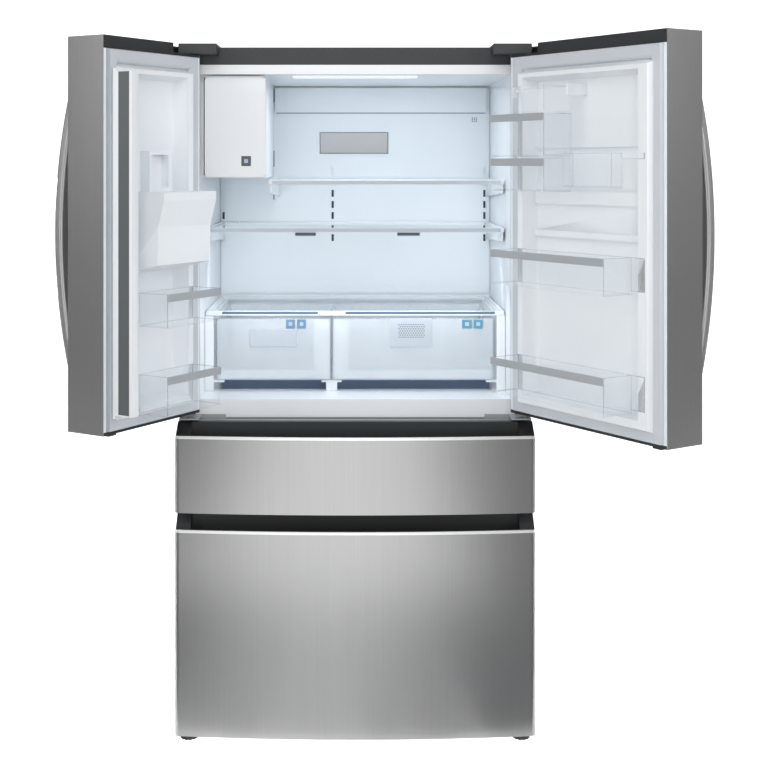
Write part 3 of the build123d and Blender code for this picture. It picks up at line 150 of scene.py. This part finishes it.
def clear(name, colour, shade, alpha, roughness, ior, wave):
    """Clear moulded resin or float glass: see-through, with a faint flow wave in its gloss."""
    material, tree, shader = finish_of(name, colour, Roughness=roughness, Alpha=alpha, IOR=ior)
    place = add(tree, "ShaderNodeTexCoord")
    flow = add(tree, "ShaderNodeTexNoise", {"Vector": (place, "Object")}, Scale=per_mm(wave), Detail=1.0)
    tone = add(tree, "ShaderNodeMix", {"Factor": (flow, "Fac")}, data_type="RGBA")
    tone.inputs["A"].default_value = srgb(colour)
    tone.inputs["B"].default_value = srgb(shade)
    bump = add(tree, "ShaderNodeBump", {"Height": (flow, "Fac")}, Strength=0.2, Distance=0.0002)
    tree.links.new(tone.outputs["Result"], shader.inputs["Base Color"])
    tree.links.new(bump.outputs["Normal"], shader.inputs["Normal"])
    return material


# Belt ground stainless sheet: the real lines are 0.3 mm apart, drawn at 3 mm so that they show
stainless = brushed("brushed_stainless_sheet", "#b2b2b2", "#a9a9a9", 0.3, 3.0, 420.0, 0.1)
handle_steel = brushed("satin_stainless_handle", "#b0b0b1", "#a6a6a7", 0.4, 3.0, 300.0, 0.2)
# Zinc plated pressings: dull silver with a slight blotch
zinc_plate = brushed("zinc_plated_steel", "#b4b8bb", "#9ea2a6", 0.42, 6.0, 12.0, 0.0)
# Coil and mould metal: mill finished aluminium
mill_aluminium = brushed("mill_aluminium", "#c9cccf", "#b9bcc0", 0.4, 5.0, 60.0, 0.2)
# Bare plate on the rear panel: satin aluminium
satin_plate = brushed("satin_aluminium_plate", "#9a9b9b", "#989ca0", 0.38, 4.0, 4.0, 0.0)
# Tinted lips of the glass shelves: satin extrusion
lip_tint = moulded("blue_grey_shelf_lip_abs", "#c2cad3", "#bac2cb", 0.35, 2.0, 0.01)
# Vent pads in the crispers: hazy moulded plastic
pad_plastic = moulded("hazy_pad_plastic", "#c4cbd3", "#bdc5cd", 0.5, 5.0, 0.01)
# Steel face of the mullion: grey painted sheet
mullion_steel = moulded("grey_painted_steel", "#5b6164", "#54595c", 0.42, 1.2, 0.03)
# Chrome lip along the drawer tops, painted near white: a painted reflection that keeps the line light along its
# whole length
lip_reflection = moulded("drawer_lip_painted_reflection", "#f6f6f6", "#efefef", 0.3, 6.0, 0.005, Metallic=0.4)
# Vacuum formed ABS of the liners: satin white with a soft sheen
white_abs = moulded("satin_white_abs", "#eef1f4", "#e8ecf0", 0.32, 1.6, 0.02)
frame_abs = moulded("gloss_white_frame_abs", "#f1f4f6", "#e9edf0", 0.22, 2.5, 0.01)
duct_abs = moulded("satin_white_panel_abs", "#ebf0f3", "#e4eaee", 0.36, 1.6, 0.02)
mullion_abs = moulded("white_mullion_abs", "#eceff2", "#e4e8ec", 0.34, 1.6, 0.02)
# Dark end caps: grained polypropylene
dark_cap = moulded("grained_dark_polypropylene", "#2b2c2e", "#262729", 0.5, 0.9, 0.05)
hinge_dark = moulded("grained_hinge_cover_abs", "#37393b", "#313335", 0.46, 0.9, 0.05)
black_plastic = moulded("matt_black_polypropylene", "#131415", "#1a1b1c", 0.55, 1.2, 0.05)
# Cabinet wrapper: pre-painted sheet with a fine texture
shell_paint = moulded("dark_grey_cabinet_paint", "#313336", "#2c2e30", 0.45, 1.4, 0.04)
rail_paint = moulded("grey_rail_paint", "#8d9194", "#84888b", 0.4, 1.4, 0.03)
black_enamel = moulded("black_enamelled_steel", "#0f1011", "#16171a", 0.3, 2.0, 0.02)
# Soft PVC door seals
grey_pvc = moulded("soft_grey_pvc_seal", "#ccd0d6", "#c2c7cd", 0.6, 1.0, 0.05)
# A darker copy of the seal grey: painted shade on the outer walls of the left door's and the drawers' seals, the
# side that faces away from the light
seal_shade = moulded("soft_grey_pvc_seal_painted_shade", "#a4abb5", "#9aa1ab", 0.6, 1.0, 0.05)
# Grey bands on the door bins
band_grey = moulded("satin_grey_band_abs", "#a8acb0", "#9ea2a6", 0.42, 1.5, 0.02)
# Rigid polyurethane foam: cream, open and dull
foam = moulded("rigid_polyurethane_foam", "#d9c894", "#cdb984", 0.9, 2.0, 0.3)
# General purpose polystyrene bins and boxes, and float glass shelves
clear_resin = clear("clear_polystyrene", "#eaf1f6", "#dfe9f0", 0.07, 0.12, 1.59, 60.0)
crisper_resin = clear("clear_crisper_polystyrene", "#f4f9fd", "#eaf2f8", 0.3, 0.14, 1.59, 60.0)
shelf_glass = clear("clear_float_glass", "#eef5f7", "#e4eef1", 0.15, 0.04, 1.52, 150.0)
# The same resin seen along a wall: it gathers tint, so the edges of a clear bin read as grey lines
resin_edge = clear("clear_polystyrene_edge", "#a3adba", "#98a3b1", 0.42, 0.2, 1.59, 40.0)
# Paler, less clear resin for plates on the crispers: painted highlight on their rounded corners, and a paler band
# along their feet
crisper_pale = clear("pale_crisper_polystyrene", "#eef2f6", "#e6ecf2", 0.75, 0.4, 1.59, 60.0)
# Painted shade: dark strips and discs put where slots, holes, seams and gaps show only shadow
slot_shade = moulded("dark_slot_painted_shade", "#2b3038", "#343a44", 0.6, 1.2, 0.03)
slate_shade = moulded("slate_blue_painted_shade", "#4e5f7c", "#465670", 0.45, 1.5, 0.02)
blue_shade = moulded("blue_grey_painted_shade", "#5d738a", "#546a80", 0.5, 1.2, 0.02)
vent_shade = moulded("grey_vent_painted_shade", "#59616a", "#525a63", 0.6, 1.2, 0.03)
# Printed tiles without lettering
blue_tile = moulded("matt_blue_print", "#6d8fae", "#6385a4", 0.5, 1.0, 0.01)
teal_tile = moulded("matt_teal_print", "#5c98ac", "#538fa3", 0.5, 1.0, 0.01)
grey_tile = moulded("matt_grey_print", "#585d63", "#4f545a", 0.5, 1.0, 0.01)
pale_tile = moulded("matt_pale_print", "#b4c6d6", "#abbece", 0.5, 1.0, 0.01)
cap_edge = moulded("satin_grey_cap_edge", "#8f9193", "#858789", 0.45, 1.2, 0.02)
hinge_grey = moulded("aluminium_grey_hinge_lacquer", "#a8abad", "#9da0a2", 0.4, 1.2, 0.02)
gloss_panel = moulded("gloss_black_panel", "#101214", "#14161a", 0.12, 3.0, 0.005)
screw_steel = moulded("zinc_flake_screw", "#8a8d90", "#7e8184", 0.4, 0.8, 0.02, Metallic=0.6)
# Frosted lens of the ceiling light
lens, lens_tree, lens_shader = finish_of(
    "frosted_lens_polycarbonate", "#f7fbff", Roughness=0.5, Emission_Strength=0.35
)
lens_place = add(lens_tree, "ShaderNodeTexCoord")
lens_grain = add(lens_tree, "ShaderNodeTexNoise", {"Vector": (lens_place, "Object")}, Scale=per_mm(12.0))
lens_tone = add(lens_tree, "ShaderNodeMix", {"Factor": (lens_grain, "Fac")}, data_type="RGBA")
lens_tone.inputs["A"].default_value = srgb("#f4f9ff")
lens_tone.inputs["B"].default_value = srgb("#e8f2ff")
lens_tree.links.new(lens_tone.outputs["Result"], lens_shader.inputs["Emission Color"])

slot_finish = {
    "shell_paint": shell_paint,
    "foam": foam,
    "liner_white": white_abs,
    "frame_white": frame_abs,
    "clear_glass": shelf_glass,
    "clear_plastic": clear_resin,
    "trim_grey": band_grey,
    "gasket_grey": grey_pvc,
    "stainless": stainless,
    "dark_cap": dark_cap,
    "bright_lip": lip_reflection,
    "zinc_steel": zinc_plate,
    "rail_paint": rail_paint,
    "black_plastic": black_plastic,
    "black_metal": black_enamel,
    "fin_metal": mill_aluminium,
    "light_lens": lens,
    "mullion_white": mullion_abs,
}
for row in frame["record"]["subparts"]:
    node = nodes[row["node"]]
    node.data.materials.clear()
    node.data.materials.append(slot_finish[row["material_slot"]])
# These nodes show another finish than their slot has; the drawers' cores show their moulded inner panel
for name, finish in {
    "flex_core": white_abs,
    "freezer_core": white_abs,
    "left_door_handle": handle_steel,
    "right_door_handle": handle_steel,
    "hinge_covers": hinge_dark,
    "air_duct_panel": duct_abs,
    "crisper_left": crisper_resin,
    "crisper_right": crisper_resin,
    "door_hinges": hinge_grey,
}.items():
    nodes[name].data.materials[0] = finish


def soften(name, width, edge_finish=None):
    """Breaks the sharp edges of a solid, as a mould or a press does; the edge may have its own finish."""
    weld = nodes[name].modifiers.new("weld", "WELD")
    weld.merge_threshold = 0.00002
    bevel = nodes[name].modifiers.new("edge", "BEVEL")
    bevel.width = width / 1000.0
    bevel.segments = 2
    bevel.limit_method = "ANGLE"
    bevel.angle_limit = math.radians(40)
    if edge_finish:
        nodes[name].data.materials.append(edge_finish)
        bevel.material = 1


def closed_to_rest(joint_name):
    """Turn that takes a point drawn with the door closed to where it is at rest."""
    joint = joints[joint_name]
    place = Matrix.Translation(joint["pos_m"])
    turn = Matrix.Rotation(math.radians(-joint["range_deg"][0]), 4, Vector(joint["axis"]))
    return place @ turn @ place.inverted()


left_swing = closed_to_rest("left_door_hinge")
right_swing = closed_to_rest("right_door_hinge")
still = Matrix.Identity(4)
mullion_axis = left_swing.inverted() @ Vector(joints["mullion_fold"]["pos_m"])
mullion_fold = (
    Matrix.Translation(mullion_axis) @ Matrix.Rotation(math.radians(90), 4, "Z")
    @ Matrix.Translation(-mullion_axis)
)


def piece(name, points, faces, finish, body, swing=still, smooth=False):
    """A mesh from points in millimetres, drawn closed, put at rest on its body."""
    mesh = bpy.data.meshes.new(name)
    mesh.from_pydata([Vector(p) / 1000.0 for p in points], [], faces)
    work = bmesh.new()
    work.from_mesh(mesh)
    bmesh.ops.recalc_face_normals(work, faces=work.faces)
    work.to_mesh(mesh)
    work.free()
    mesh.materials.append(finish)
    if smooth:
        mesh.shade_smooth()
    item = bpy.data.objects.new(name, mesh)
    bpy.context.scene.collection.objects.link(item)
    item.matrix_world = swing
    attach(item, body)
    return item


def rectangle_loop(x0, x1, z0, z1, inset, y):
    """Four corners of an upright rectangle at depth y, drawn in by inset."""
    return [
        (x0 + inset, y, z0 + inset),
        (x1 - inset, y, z0 + inset),
        (x1 - inset, y, z1 - inset),
        (x0 + inset, y, z1 - inset),
    ]


def ring(name, x0, x1, z0, z1, profile, finish, shade_finish, body, swing):
    """A closed strip round a rectangle, mitred at its corners; profile holds (inset, y), the outer wall first."""
    points = [p for inset, y in profile for p in rectangle_loop(x0, x1, z0, z1, inset, y)]
    count = len(profile)
    faces = [
        (4 * i + k, 4 * i + (k + 1) % 4, 4 * ((i + 1) % count) + (k + 1) % 4, 4 * ((i + 1) % count) + k)
        for i in range(count)
        for k in range(4)
    ]
    strip = piece(name, points, faces, finish, body, swing)
    strip.data.materials.append(shade_finish)
    # The outer wall rows take the second finish: a painted shade on the left door's and the drawers' seals
    for index, face in enumerate(strip.data.polygons):
        face.material_index = 1 if index < 4 * wall_rows else 0
    return strip


# Door and drawer seals: a foot on the door, two shallow folds, and a broad magnet chamber up to the dyke
wall_rows = 6
seal_section = [
    (0.0, inner_face),
    (0.0, inner_face + 1.8),
    (1.4, inner_face + 3.4),
    (0.4, inner_face + 5.4),
    (1.4, inner_face + 7.4),
    (0.6, inner_face + 9.6),
    (1.8, seal_back),
    (24.0, seal_back - 0.6),
    (29.0, seal_back - 2.2),
    (32.2, seal_back - 5.2),
    (seal_width, inner_face + 2.0),
    (seal_width, inner_face),
]
left_seal = ring(
    "left_seal", -half_front + 20, left_free - 10, seal_low, seal_high,
    seal_section, grey_pvc, seal_shade, "left_door", left_swing,
)
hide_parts("left_door_gasket")
right_seal = ring(
    "right_seal", right_free + 10, half_front - 20, seal_low, seal_high,
    seal_section, grey_pvc, grey_pvc, "right_door", right_swing,
)
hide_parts("right_door_gasket")
drawer_section = [(inset * drawer_seal_width / seal_width, y) for inset, y in seal_section]
for drawer in ("flex", "freezer"):
    low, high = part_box(drawer + "_gasket")
    drawer_seal = ring(
        drawer + "_seal", low.x * 1000, high.x * 1000, low.z * 1000, high.z * 1000,
        drawer_section, grey_pvc, seal_shade, drawer + "_drawer", still,
    )
    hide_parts(drawer + "_gasket")


def plate(name, x0, x1, z0, z1, back, front, edge, finish, body, swing=still):
    """A flat plate facing the viewer, with its front edges chamfered by edge."""
    sign = 1 if front > back else -1
    shoulder = front - sign * edge
    points = rectangle_loop(x0, x1, z0, z1, 0, back)
    points += rectangle_loop(x0, x1, z0, z1, 0, shoulder)
    points += rectangle_loop(x0, x1, z0, z1, edge, front)
    faces = [(0, 1, 2, 3), (8, 9, 10, 11)]
    for row in (0, 4):
        faces += [(row + k, row + (k + 1) % 4, row + 4 + (k + 1) % 4, row + 4 + k) for k in range(4)]
    return piece(name, points, faces, finish, body, swing)


# Steel face of the folding mullion, which the seals of both doors pull on
plate(
    "mullion_plate", -102.0, -69.5, 900.0, 1692.0, 0.6, 0.1, 0.3,
    mullion_steel, "mullion", left_swing @ mullion_fold,
)

# Bare satin plate with a darker edge, set in the frame on the rear panel
plate(
    "rear_plate_edge", -106.0, 99.0, 1508.0, 1573.0, panel_front - 2, panel_front - 2.6, 0.3,
    cap_edge, "cabinet", still,
)
plate(
    "rear_plate", -103.5, 96.5, 1510.5, 1570.5, panel_front - 2.6, panel_front - 3.4, 0.6,
    satin_plate, "cabinet", still,
)


def shade_strip(name, x0, x1, z0, z1, face, finish=slot_shade):
    """A thin dark strip on the cabinet: painted shade where a slot or a gap shows only shadow."""
    return plate(name, x0, x1, z0, z1, face + 1.2, face, 0.3, finish, "cabinet", still)


# Painted shade in the shelf slots and vents of the rear panel: dark strips stand for the shadow in them; the slots
# share out the room above the cover
slot_room = 417.0
slot_start = 0.3885
slot_pitch = 0.0791
slot_half = 3.3
for column, (slot_x, slots) in enumerate(((-392.0, (1, 2)), (-67.0, range(5)), (385.0, range(5)))):
    for index in slots:
        low = cover_top + (slot_start + slot_pitch * index) * slot_room
        shade_strip(
            "slot_%d_%d" % (column, index), slot_x - slot_half, slot_x + slot_half, low + 0.3, low + 20.7, slot_face
        )
for name, x0, x1 in (("vent_left", -178.5, -117.5), ("vent_right", 125.5, 192.5)):
    shade_strip(name, x0, x1, 1264.5, 1273.5, slot_face, vent_shade)
# Painted shadow: thin dark lines in the gap beside the ice box, and a blue-grey one under the step of the upper
# panel
for index, (low, high) in enumerate(((1662.0, 1702.0), (1470.0, 1518.0), (1372.0, 1394.0))):
    shade_strip("panel_gap_shade_%d" % index, -243.5, -240.5, low, high, panel_front - 0.3)
shade_strip("panel_step_shade", -235.0, 388.0, 1628.6, 1630.6, panel_front - 1.2, blue_shade)

# Small fronts and inserts about the crispers: blue-grey painted shade in the slits under the cover
for name, x0, x1 in (("cover_slit_left", -355.0, -99.0), ("cover_slit_right", -26.0, 373.0)):
    shade_strip(name, x0, x1, cover_top - 8.4, cover_top - 1.4, shelf_front - 0.7, blue_shade)
# Slate painted shade: dark plates in the gap under the crispers, where the floor lies in shadow
for name, x0, x1 in (("base_shade_left", -359.0, -79.0), ("base_shade_right", -49.0, 361.0)):
    shade_strip(name, x0, x1, 872.5, 900.0, 158.0, slate_shade)
# Pale plates on the crispers: at their ends a painted highlight where the rounded front corners catch the light,
# and a paler band along their feet
for name, body, x0, x1, top in (
    ("crisper_end_left", "crisper_left", -110.0, -67.6, crisper_high - 4),
    ("crisper_end_right", "crisper_right", -58.4, -16.5, crisper_high - 4),
    ("crisper_foot_left", "crisper_left", -360.0, -111.0, crisper_low + 26),
    ("crisper_foot_right", "crisper_right", -15.5, 360.0, crisper_low + 26),
):
    plate(
        name, x0, x1, crisper_low + 3.2, top, crisper_front + 6, crisper_front + 3.2, 1.0,
        crisper_pale, body, still,
    )


tile_margin = 0.3


def tile(name, x0, x1, z0, z1, face, finish, body):
    """A printed tile with a paler square in it, in place of any picture."""
    plate(name, x0, x1, z0, z1, face, face - 0.3, 0.1, finish, body, still)
    dx, dz = (x1 - x0) * tile_margin, (z1 - z0) * tile_margin
    plate(
        name + "_inset", x0 + dx, x1 - dx, z0 + dz, z1 - dz, face - 0.3, face - 0.5, 0.1,
        pale_tile, body, still,
    )


for name, x0, x1, finish in (
    ("left_1", -184.6, -160.6, blue_tile),
    ("left_2", -155.3, -131.2, blue_tile),
    ("right_1", 285.3, 312.0, teal_tile),
    ("right_2", 316.0, 341.4, teal_tile),
):
    tile("tile_" + name, x0, x1, 1039.0, 1063.0, crisper_front, finish, "crisper_" + name[:-2])
tile("ice_tile", -295.0, -270.0, 1473.0, 1499.0, ice_bin_front, grey_tile, "ice_bin")


def disc_field(name, centres, radius, face, depth, finish, body):
    """Many small eight-sided discs in one piece: screw heads, or dark discs of painted shade in holes."""
    points, faces = [], []
    for x, z in centres:
        start = len(points)
        for y in (face, face - depth):
            for k in range(8):
                turn = math.pi * (k + 0.5) / 4
                points.append((x + radius * math.cos(turn), y, z + radius * math.sin(turn)))
        faces.append(tuple(range(start + 8, start + 16)))
        faces.append(tuple(reversed(range(start, start + 8))))
        faces += [(start + k, start + (k + 1) % 8, start + 8 + (k + 1) % 8, start + 8 + k) for k in range(8)]
    return piece(name, points, faces, finish, body, still)


# Tinted lips along the front edges of the two glass shelves
lip_height = 9.5
for name, x0, x1, top in (("upper", -222.0, 389.0, 1434.8), ("middle", -389.0, 389.0, 1306.8)):
    plate(
        "shelf_lip_" + name, x0, x1, top - lip_height, top, shelf_front + 0.5, shelf_front - 0.6, 0.5,
        lip_tint, "cabinet", still,
    )

# Vent pads let into the crispers' fronts, the right one with its field of holes in staggered rows; the holes are
# dark discs of painted shade
pad_face = crisper_front - 0.8
hole_pitch = 6.4
hole_rise = 5.6
for side, x0, x1, z0, z1 in (("left", -281.0, -155.0, 990.0, 1037.5), ("right", 93.0, 204.0, 989.0, 1066.0)):
    plate(
        "vent_pad_" + side, x0, x1, z0, z1, crisper_front + 0.5, pad_face, 0.7,
        pad_plastic, "crisper_" + side, still,
    )
pad_holes = [
    (117.0 + hole_pitch * (i + (k % 2) / 2), 1016.0 + hole_rise * k) for i in range(11) for k in range(7)
]
disc_field("vent_pad_holes", pad_holes, 1.7, pad_face, 0.2, vent_shade, "crisper_right")
# Small sensor holes in the upper right corner of the rear panel, drawn as dark discs of painted shade
corner_holes = [(349.0 + 6.0 * i, 1605.0 + 5.0 * k) for i in range(3) for k in range(3)]
disc_field("sensor_holes", corner_holes, 1.7, panel_front, 0.3, slot_shade, "cabinet")

# Grey rear edge of the upper drawer cap
cap_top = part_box("flex_cap")[1].z * 1000
cap_half = 412.0
cap_fore, cap_rear = -30.0, -13.0
edge_points = [
    (sign * (cap_half - inset), y, cap_top + 0.6 * inset)
    for inset in (0.0, 1.0)
    for sign, y in (
        (-1, cap_fore + inset), (1, cap_fore + inset), (1, cap_rear - inset), (-1, cap_rear - inset),
    )
]
edge_faces = [(0, 1, 2, 3), (4, 5, 6, 7)] + [(k, (k + 1) % 4, 4 + (k + 1) % 4, 4 + k) for k in range(4)]
piece("flex_cap_edge", edge_points, edge_faces, cap_edge, "flex_drawer", still)

# Outside of the left door: control glass above the dispenser niche, plain buttons and a nozzle
bow_radius = (half_front ** 2 + front_bow ** 2) / (2 * front_bow)


def front_y(x):
    """Depth of the bowed front at x."""
    return front_plane + bow_radius - math.sqrt(bow_radius ** 2 - x ** 2)


def bowed_plate(name, x0, x1, z0, z1, lift, thick, finish, body, swing, steps=12):
    """A thin plate that follows the bow of the front, lifted off it."""
    points, faces = [], []
    for level in (lift, lift + thick):
        for i in range(steps + 1):
            x = x0 + (x1 - x0) * i / steps
            points += [(x, front_y(x) - level, z0), (x, front_y(x) - level, z1)]
    row = 2 * (steps + 1)
    for i in range(steps):
        a = 2 * i
        faces += [(a, a + 1, a + 3, a + 2), (row + a, row + a + 2, row + a + 3, row + a + 1)]
        faces += [(a, a + 2, row + a + 2, row + a), (a + 1, row + a + 1, row + a + 3, a + 3)]
    faces += [(0, row, row + 1, 1), (row - 2, row - 1, 2 * row - 1, 2 * row - 2)]
    return piece(name, points, faces, finish, body, swing)


bowed_plate(
    "dispenser_glass", -390.0, -186.0, 1384.0, 1482.0, 2.5, 1.0, gloss_panel, "left_door", left_swing,
)
button_pitch = 38.0
button_half = 9.0
for index in range(5):
    button_x = -364.0 + button_pitch * index
    bowed_plate(
        "dispenser_button_%d" % index, button_x - button_half, button_x + button_half,
        1433.0 - button_half, 1433.0 + button_half, 3.5, 0.5, cap_edge,
        "left_door", left_swing, 3,
    )


def lathe(name, x, y, profile, finish, body, swing, sides=20):
    """A turned piece about an upright axis; profile holds (radius, z)."""
    points = [
        (x + r * math.cos(2 * math.pi * k / sides), y + r * math.sin(2 * math.pi * k / sides), z)
        for r, z in profile
        for k in range(sides)
    ]
    faces = [
        (sides * i + k, sides * i + (k + 1) % sides, sides * (i + 1) + (k + 1) % sides, sides * (i + 1) + k)
        for i in range(len(profile) - 1)
        for k in range(sides)
    ]
    faces += [tuple(range(sides)), tuple(range(sides * (len(profile) - 1), sides * len(profile)))]
    return piece(name, points, faces, finish, body, swing, True)


lathe(
    "water_nozzle", -288.0, -86.0, [(9.0, 1372.0), (9.0, 1360.0), (6.5, 1357.0), (5.0, 1350.0), (3.0, 1350.0)],
    black_plastic, "left_door", left_swing,
)

# Screws of the machine cover at the back
cover_low, cover_high = (v * 1000 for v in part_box("machine_cover"))
screw_places = [
    (x, z)
    for x in (cover_low.x + 14, (cover_low.x + cover_high.x) / 2, cover_high.x - 14)
    for z in (cover_low.z + 12, cover_high.z - 12)
]
disc_field("cover_screws", screw_places, 5.0, cover_high.y, -2.2, screw_steel, "cabinet")

# Camera at the photograph's place: level, with the frame shifted as the photograph was cropped
picture = 770.0
focal_pixels = 1346.0
axis_x = 355.15
axis_y = 163.0
camera_data = bpy.data.cameras.new("camera")
camera_data.sensor_width = 36.0
camera_data.lens = focal_pixels / picture * camera_data.sensor_width
camera_data.shift_x = (picture / 2 - axis_x) / picture
camera_data.shift_y = (axis_y - picture / 2) / picture
camera_data.clip_end = 100.0
camera = bpy.data.objects.new("camera", camera_data)
camera.location = (0.0, -3.47, 1.481)
camera.rotation_euler = (math.radians(90), 0.0, 0.0)
bpy.context.scene.collection.objects.link(camera)
bpy.context.scene.camera = camera
bpy.context.scene.view_settings.view_transform = "Standard"
# Clear bin walls stand one behind another, each with two faces, and a ray has to pass them all
bpy.context.scene.cycles.transparent_max_bounces = 32

# Pale studio floor, and a paper sheet on its front part that is lit as brightly but adds no light to the steel
pale_floor = moulded("pale_studio_floor", "#f6f6f6", "#f2f2f2", 0.8, 4.0, 0.02)
floor_width = 12.0


def floor_sheet(name, front, back, height):
    """A flat sheet of floor from front to back, in metres."""
    mesh = bpy.data.meshes.new(name)
    side = floor_width / 2
    corners = ((-side, front), (side, front), (side, back), (-side, back))
    mesh.from_pydata([(x, y, height) for x, y in corners], [], [(0, 1, 2, 3)])
    mesh.materials.append(pale_floor)
    sheet = bpy.data.objects.new(name, mesh)
    bpy.context.scene.collection.objects.link(sheet)
    return sheet


floor = floor_sheet("studio_floor", -8.0, 1.0, 0.0)
front_floor = floor_sheet("studio_floor_paper", -8.0, -0.2, 0.0004)
front_floor.visible_diffuse = False
front_floor.visible_glossy = False
front_floor.visible_transmission = False
front_floor.visible_shadow = False


def softbox(name, place, aim, width, height, watts, colour="#ffffff"):
    """A rectangular lamp at place that looks at aim; the camera sees its light only."""
    light = bpy.data.lights.new(name, "AREA")
    light.shape = "RECTANGLE"
    light.size = width
    light.size_y = height
    light.energy = watts
    light.color = srgb(colour)[:3]
    item = bpy.data.objects.new(name, light)
    item.location = place
    item.rotation_euler = (Vector(aim) - Vector(place)).to_track_quat("-Z", "Y").to_euler()
    item.visible_camera = False
    bpy.context.scene.collection.objects.link(item)
    return item


# Lamps over the floor light only the floor; the studio's other lamps leave it out, so that it stays even
without_floor = bpy.data.collections.new("without_floor")
for index, sheet in enumerate((floor, front_floor)):
    without_floor.objects.link(sheet)
    without_floor.collection_objects[index].light_linking.link_state = "EXCLUDE"
for sheet, y, depth, watts in ((floor, 0.53, 1.5, 82.5), (front_floor, -4.0, 8.0, 480)):
    receiver = bpy.data.collections.new(sheet.name + "_only")
    receiver.objects.link(sheet)
    wash = softbox(sheet.name + "_wash", (0.0, y, 0.35), (0.0, y, 0.0), floor_width, depth, watts)
    wash.data.spread = math.radians(16)
    wash.data.use_shadow = False
    wash.visible_glossy = False
    wash.light_linking.receiver_collection = receiver
# A panel behind the camera, and cards on the floor that the drawers' steel mirrors
front_panel = softbox("front_panel", (-0.1, -4.1, 1.3), (-0.1, 0.0, 1.3), 1.9, 2.4, 28)
for name, x, y, width, depth, watts in (
    ("far_floor_card", -0.14, -2.48, 1.7, 2.24, 17.0),
    ("near_floor_card_0", -0.12, -0.87, 0.3, 1.46, 0.85),
    ("near_floor_card_1", -0.12, -0.87, 0.6, 1.46, 1.2),
    ("near_floor_card_2", -0.12, -0.87, 0.95, 1.46, 1.3),
    ("left_floor_card", -3.4, -1.2, 3.0, 3.0, 7.0),
    ("right_floor_card", 3.4, -1.2, 3.0, 3.0, 7.0),
):
    card = softbox(name, (x, y, 0.02), (x, y, 3.0), width, depth, watts)
    card.light_linking.receiver_collection = without_floor
# Soft fill from both sides, above and behind
left_fill = softbox("left_fill_softbox", (-3.2, -2.6, 2.4), (0.0, 0.0, 1.2), 1.6, 2.2, 51)
right_fill = softbox("right_fill_softbox", (3.2, -2.6, 2.4), (0.0, 0.0, 1.2), 1.6, 2.2, 54)
top_fill = softbox("top_fill_softbox", (0.0, -2.8, 3.4), (0.0, 0.3, 1.1), 2.4, 1.2, 34)
rear_fill = softbox("rear_fill_softbox", (0.0, 4.2, 2.2), (0.0, 0.0, 1.0), 3.0, 2.2, 60)
rear_fill.visible_glossy = False
for fill in (front_panel, left_fill, right_fill, top_fill, rear_fill):
    fill.light_linking.receiver_collection = without_floor
# The object's own lamps: cool white, in the ceiling, over the crispers and along the liner's sides
lamp_tint = "#eaf3fc"
cabin_light = softbox("cabinet_lamp", (0.06, 0.13, 1.7), (0.06, 0.25, 0.9), 0.4, 0.025, 1.15, lamp_tint)
cabin_light.data.spread = math.radians(170)
softbox("crisper_lamp", (0.0, 0.05, 1.15), (0.0, 0.15, 0.9), 0.7, 0.03, 0.6, lamp_tint)
softbox("cover_lamp", (0.0, 0.28, 1.28), (0.0, 0.27, 1.0), 0.6, 0.12, 0.07, lamp_tint)
for side in (-1, 1):
    softbox(
        "side_strip_lamp_%d" % (side + 1), (side * 0.39, 0.2, 1.2), (0.0, 0.5, 1.1), 0.02, 0.4, 0.4, lamp_tint
    )

# Studio room: a white backdrop to look at, and a dimmer room on all sides for light and reflections
world = bpy.data.worlds.new("studio_room")
bpy.context.scene.world = world
world.use_nodes = True
room = world.node_tree
room_place = add(room, "ShaderNodeTexCoord")
room_split = add(room, "ShaderNodeSeparateXYZ", {"Vector": (room_place, "Generated")})
room_level = add(
    room, "ShaderNodeMapRange", {"Value": (room_split, "Y")},
    From_Min=-0.42, From_Max=0.8, To_Min=0.22, To_Max=0.5, interpolation_type="SMOOTHSTEP",
)
room_height = add(
    room, "ShaderNodeMapRange", {"Value": (room_split, "Z")},
    From_Min=0.16, From_Max=0.5, To_Min=1.0, To_Max=0.2, interpolation_type="SMOOTHSTEP",
)
room_both = add(
    room, "ShaderNodeMath", {0: (room_level, "Result"), 1: (room_height, "Result")}, operation="MINIMUM"
)
room_path = add(room, "ShaderNodeLightPath")
room_seen = add(
    room, "ShaderNodeMath", {0: (room_path, "Is Camera Ray"), 2: (room_both, "Value")}, operation="MULTIPLY_ADD"
)
room_seen.inputs[1].default_value = 0.9
room_light = room.nodes["Background"]
room_light.inputs["Color"].default_value = (1.0, 1.0, 1.0, 1.0)
room.links.new(room_seen.outputs["Value"], room_light.inputs["Strength"])

# Broken edges of mouldings and pressings, widths in millimetres
for name, width in {
    "shelf_frames": 1.5,
    "hinge_covers": 1.5,
    "left_door_caps": 1.0,
    "right_door_caps": 1.0,
    "ice_bin": 3.0,
    "mullion_bar": 2.0,
    "left_door_liner": 3.0,
    "right_door_liner": 3.0,
}.items():
    soften(name, width)
for name in ("left_door_bins", "right_door_bins", "dairy_lid"):
    soften(name, 1.1, resin_edge)
for name in ("crisper_left", "crisper_right"):
    soften(name, 1.3, resin_edge)
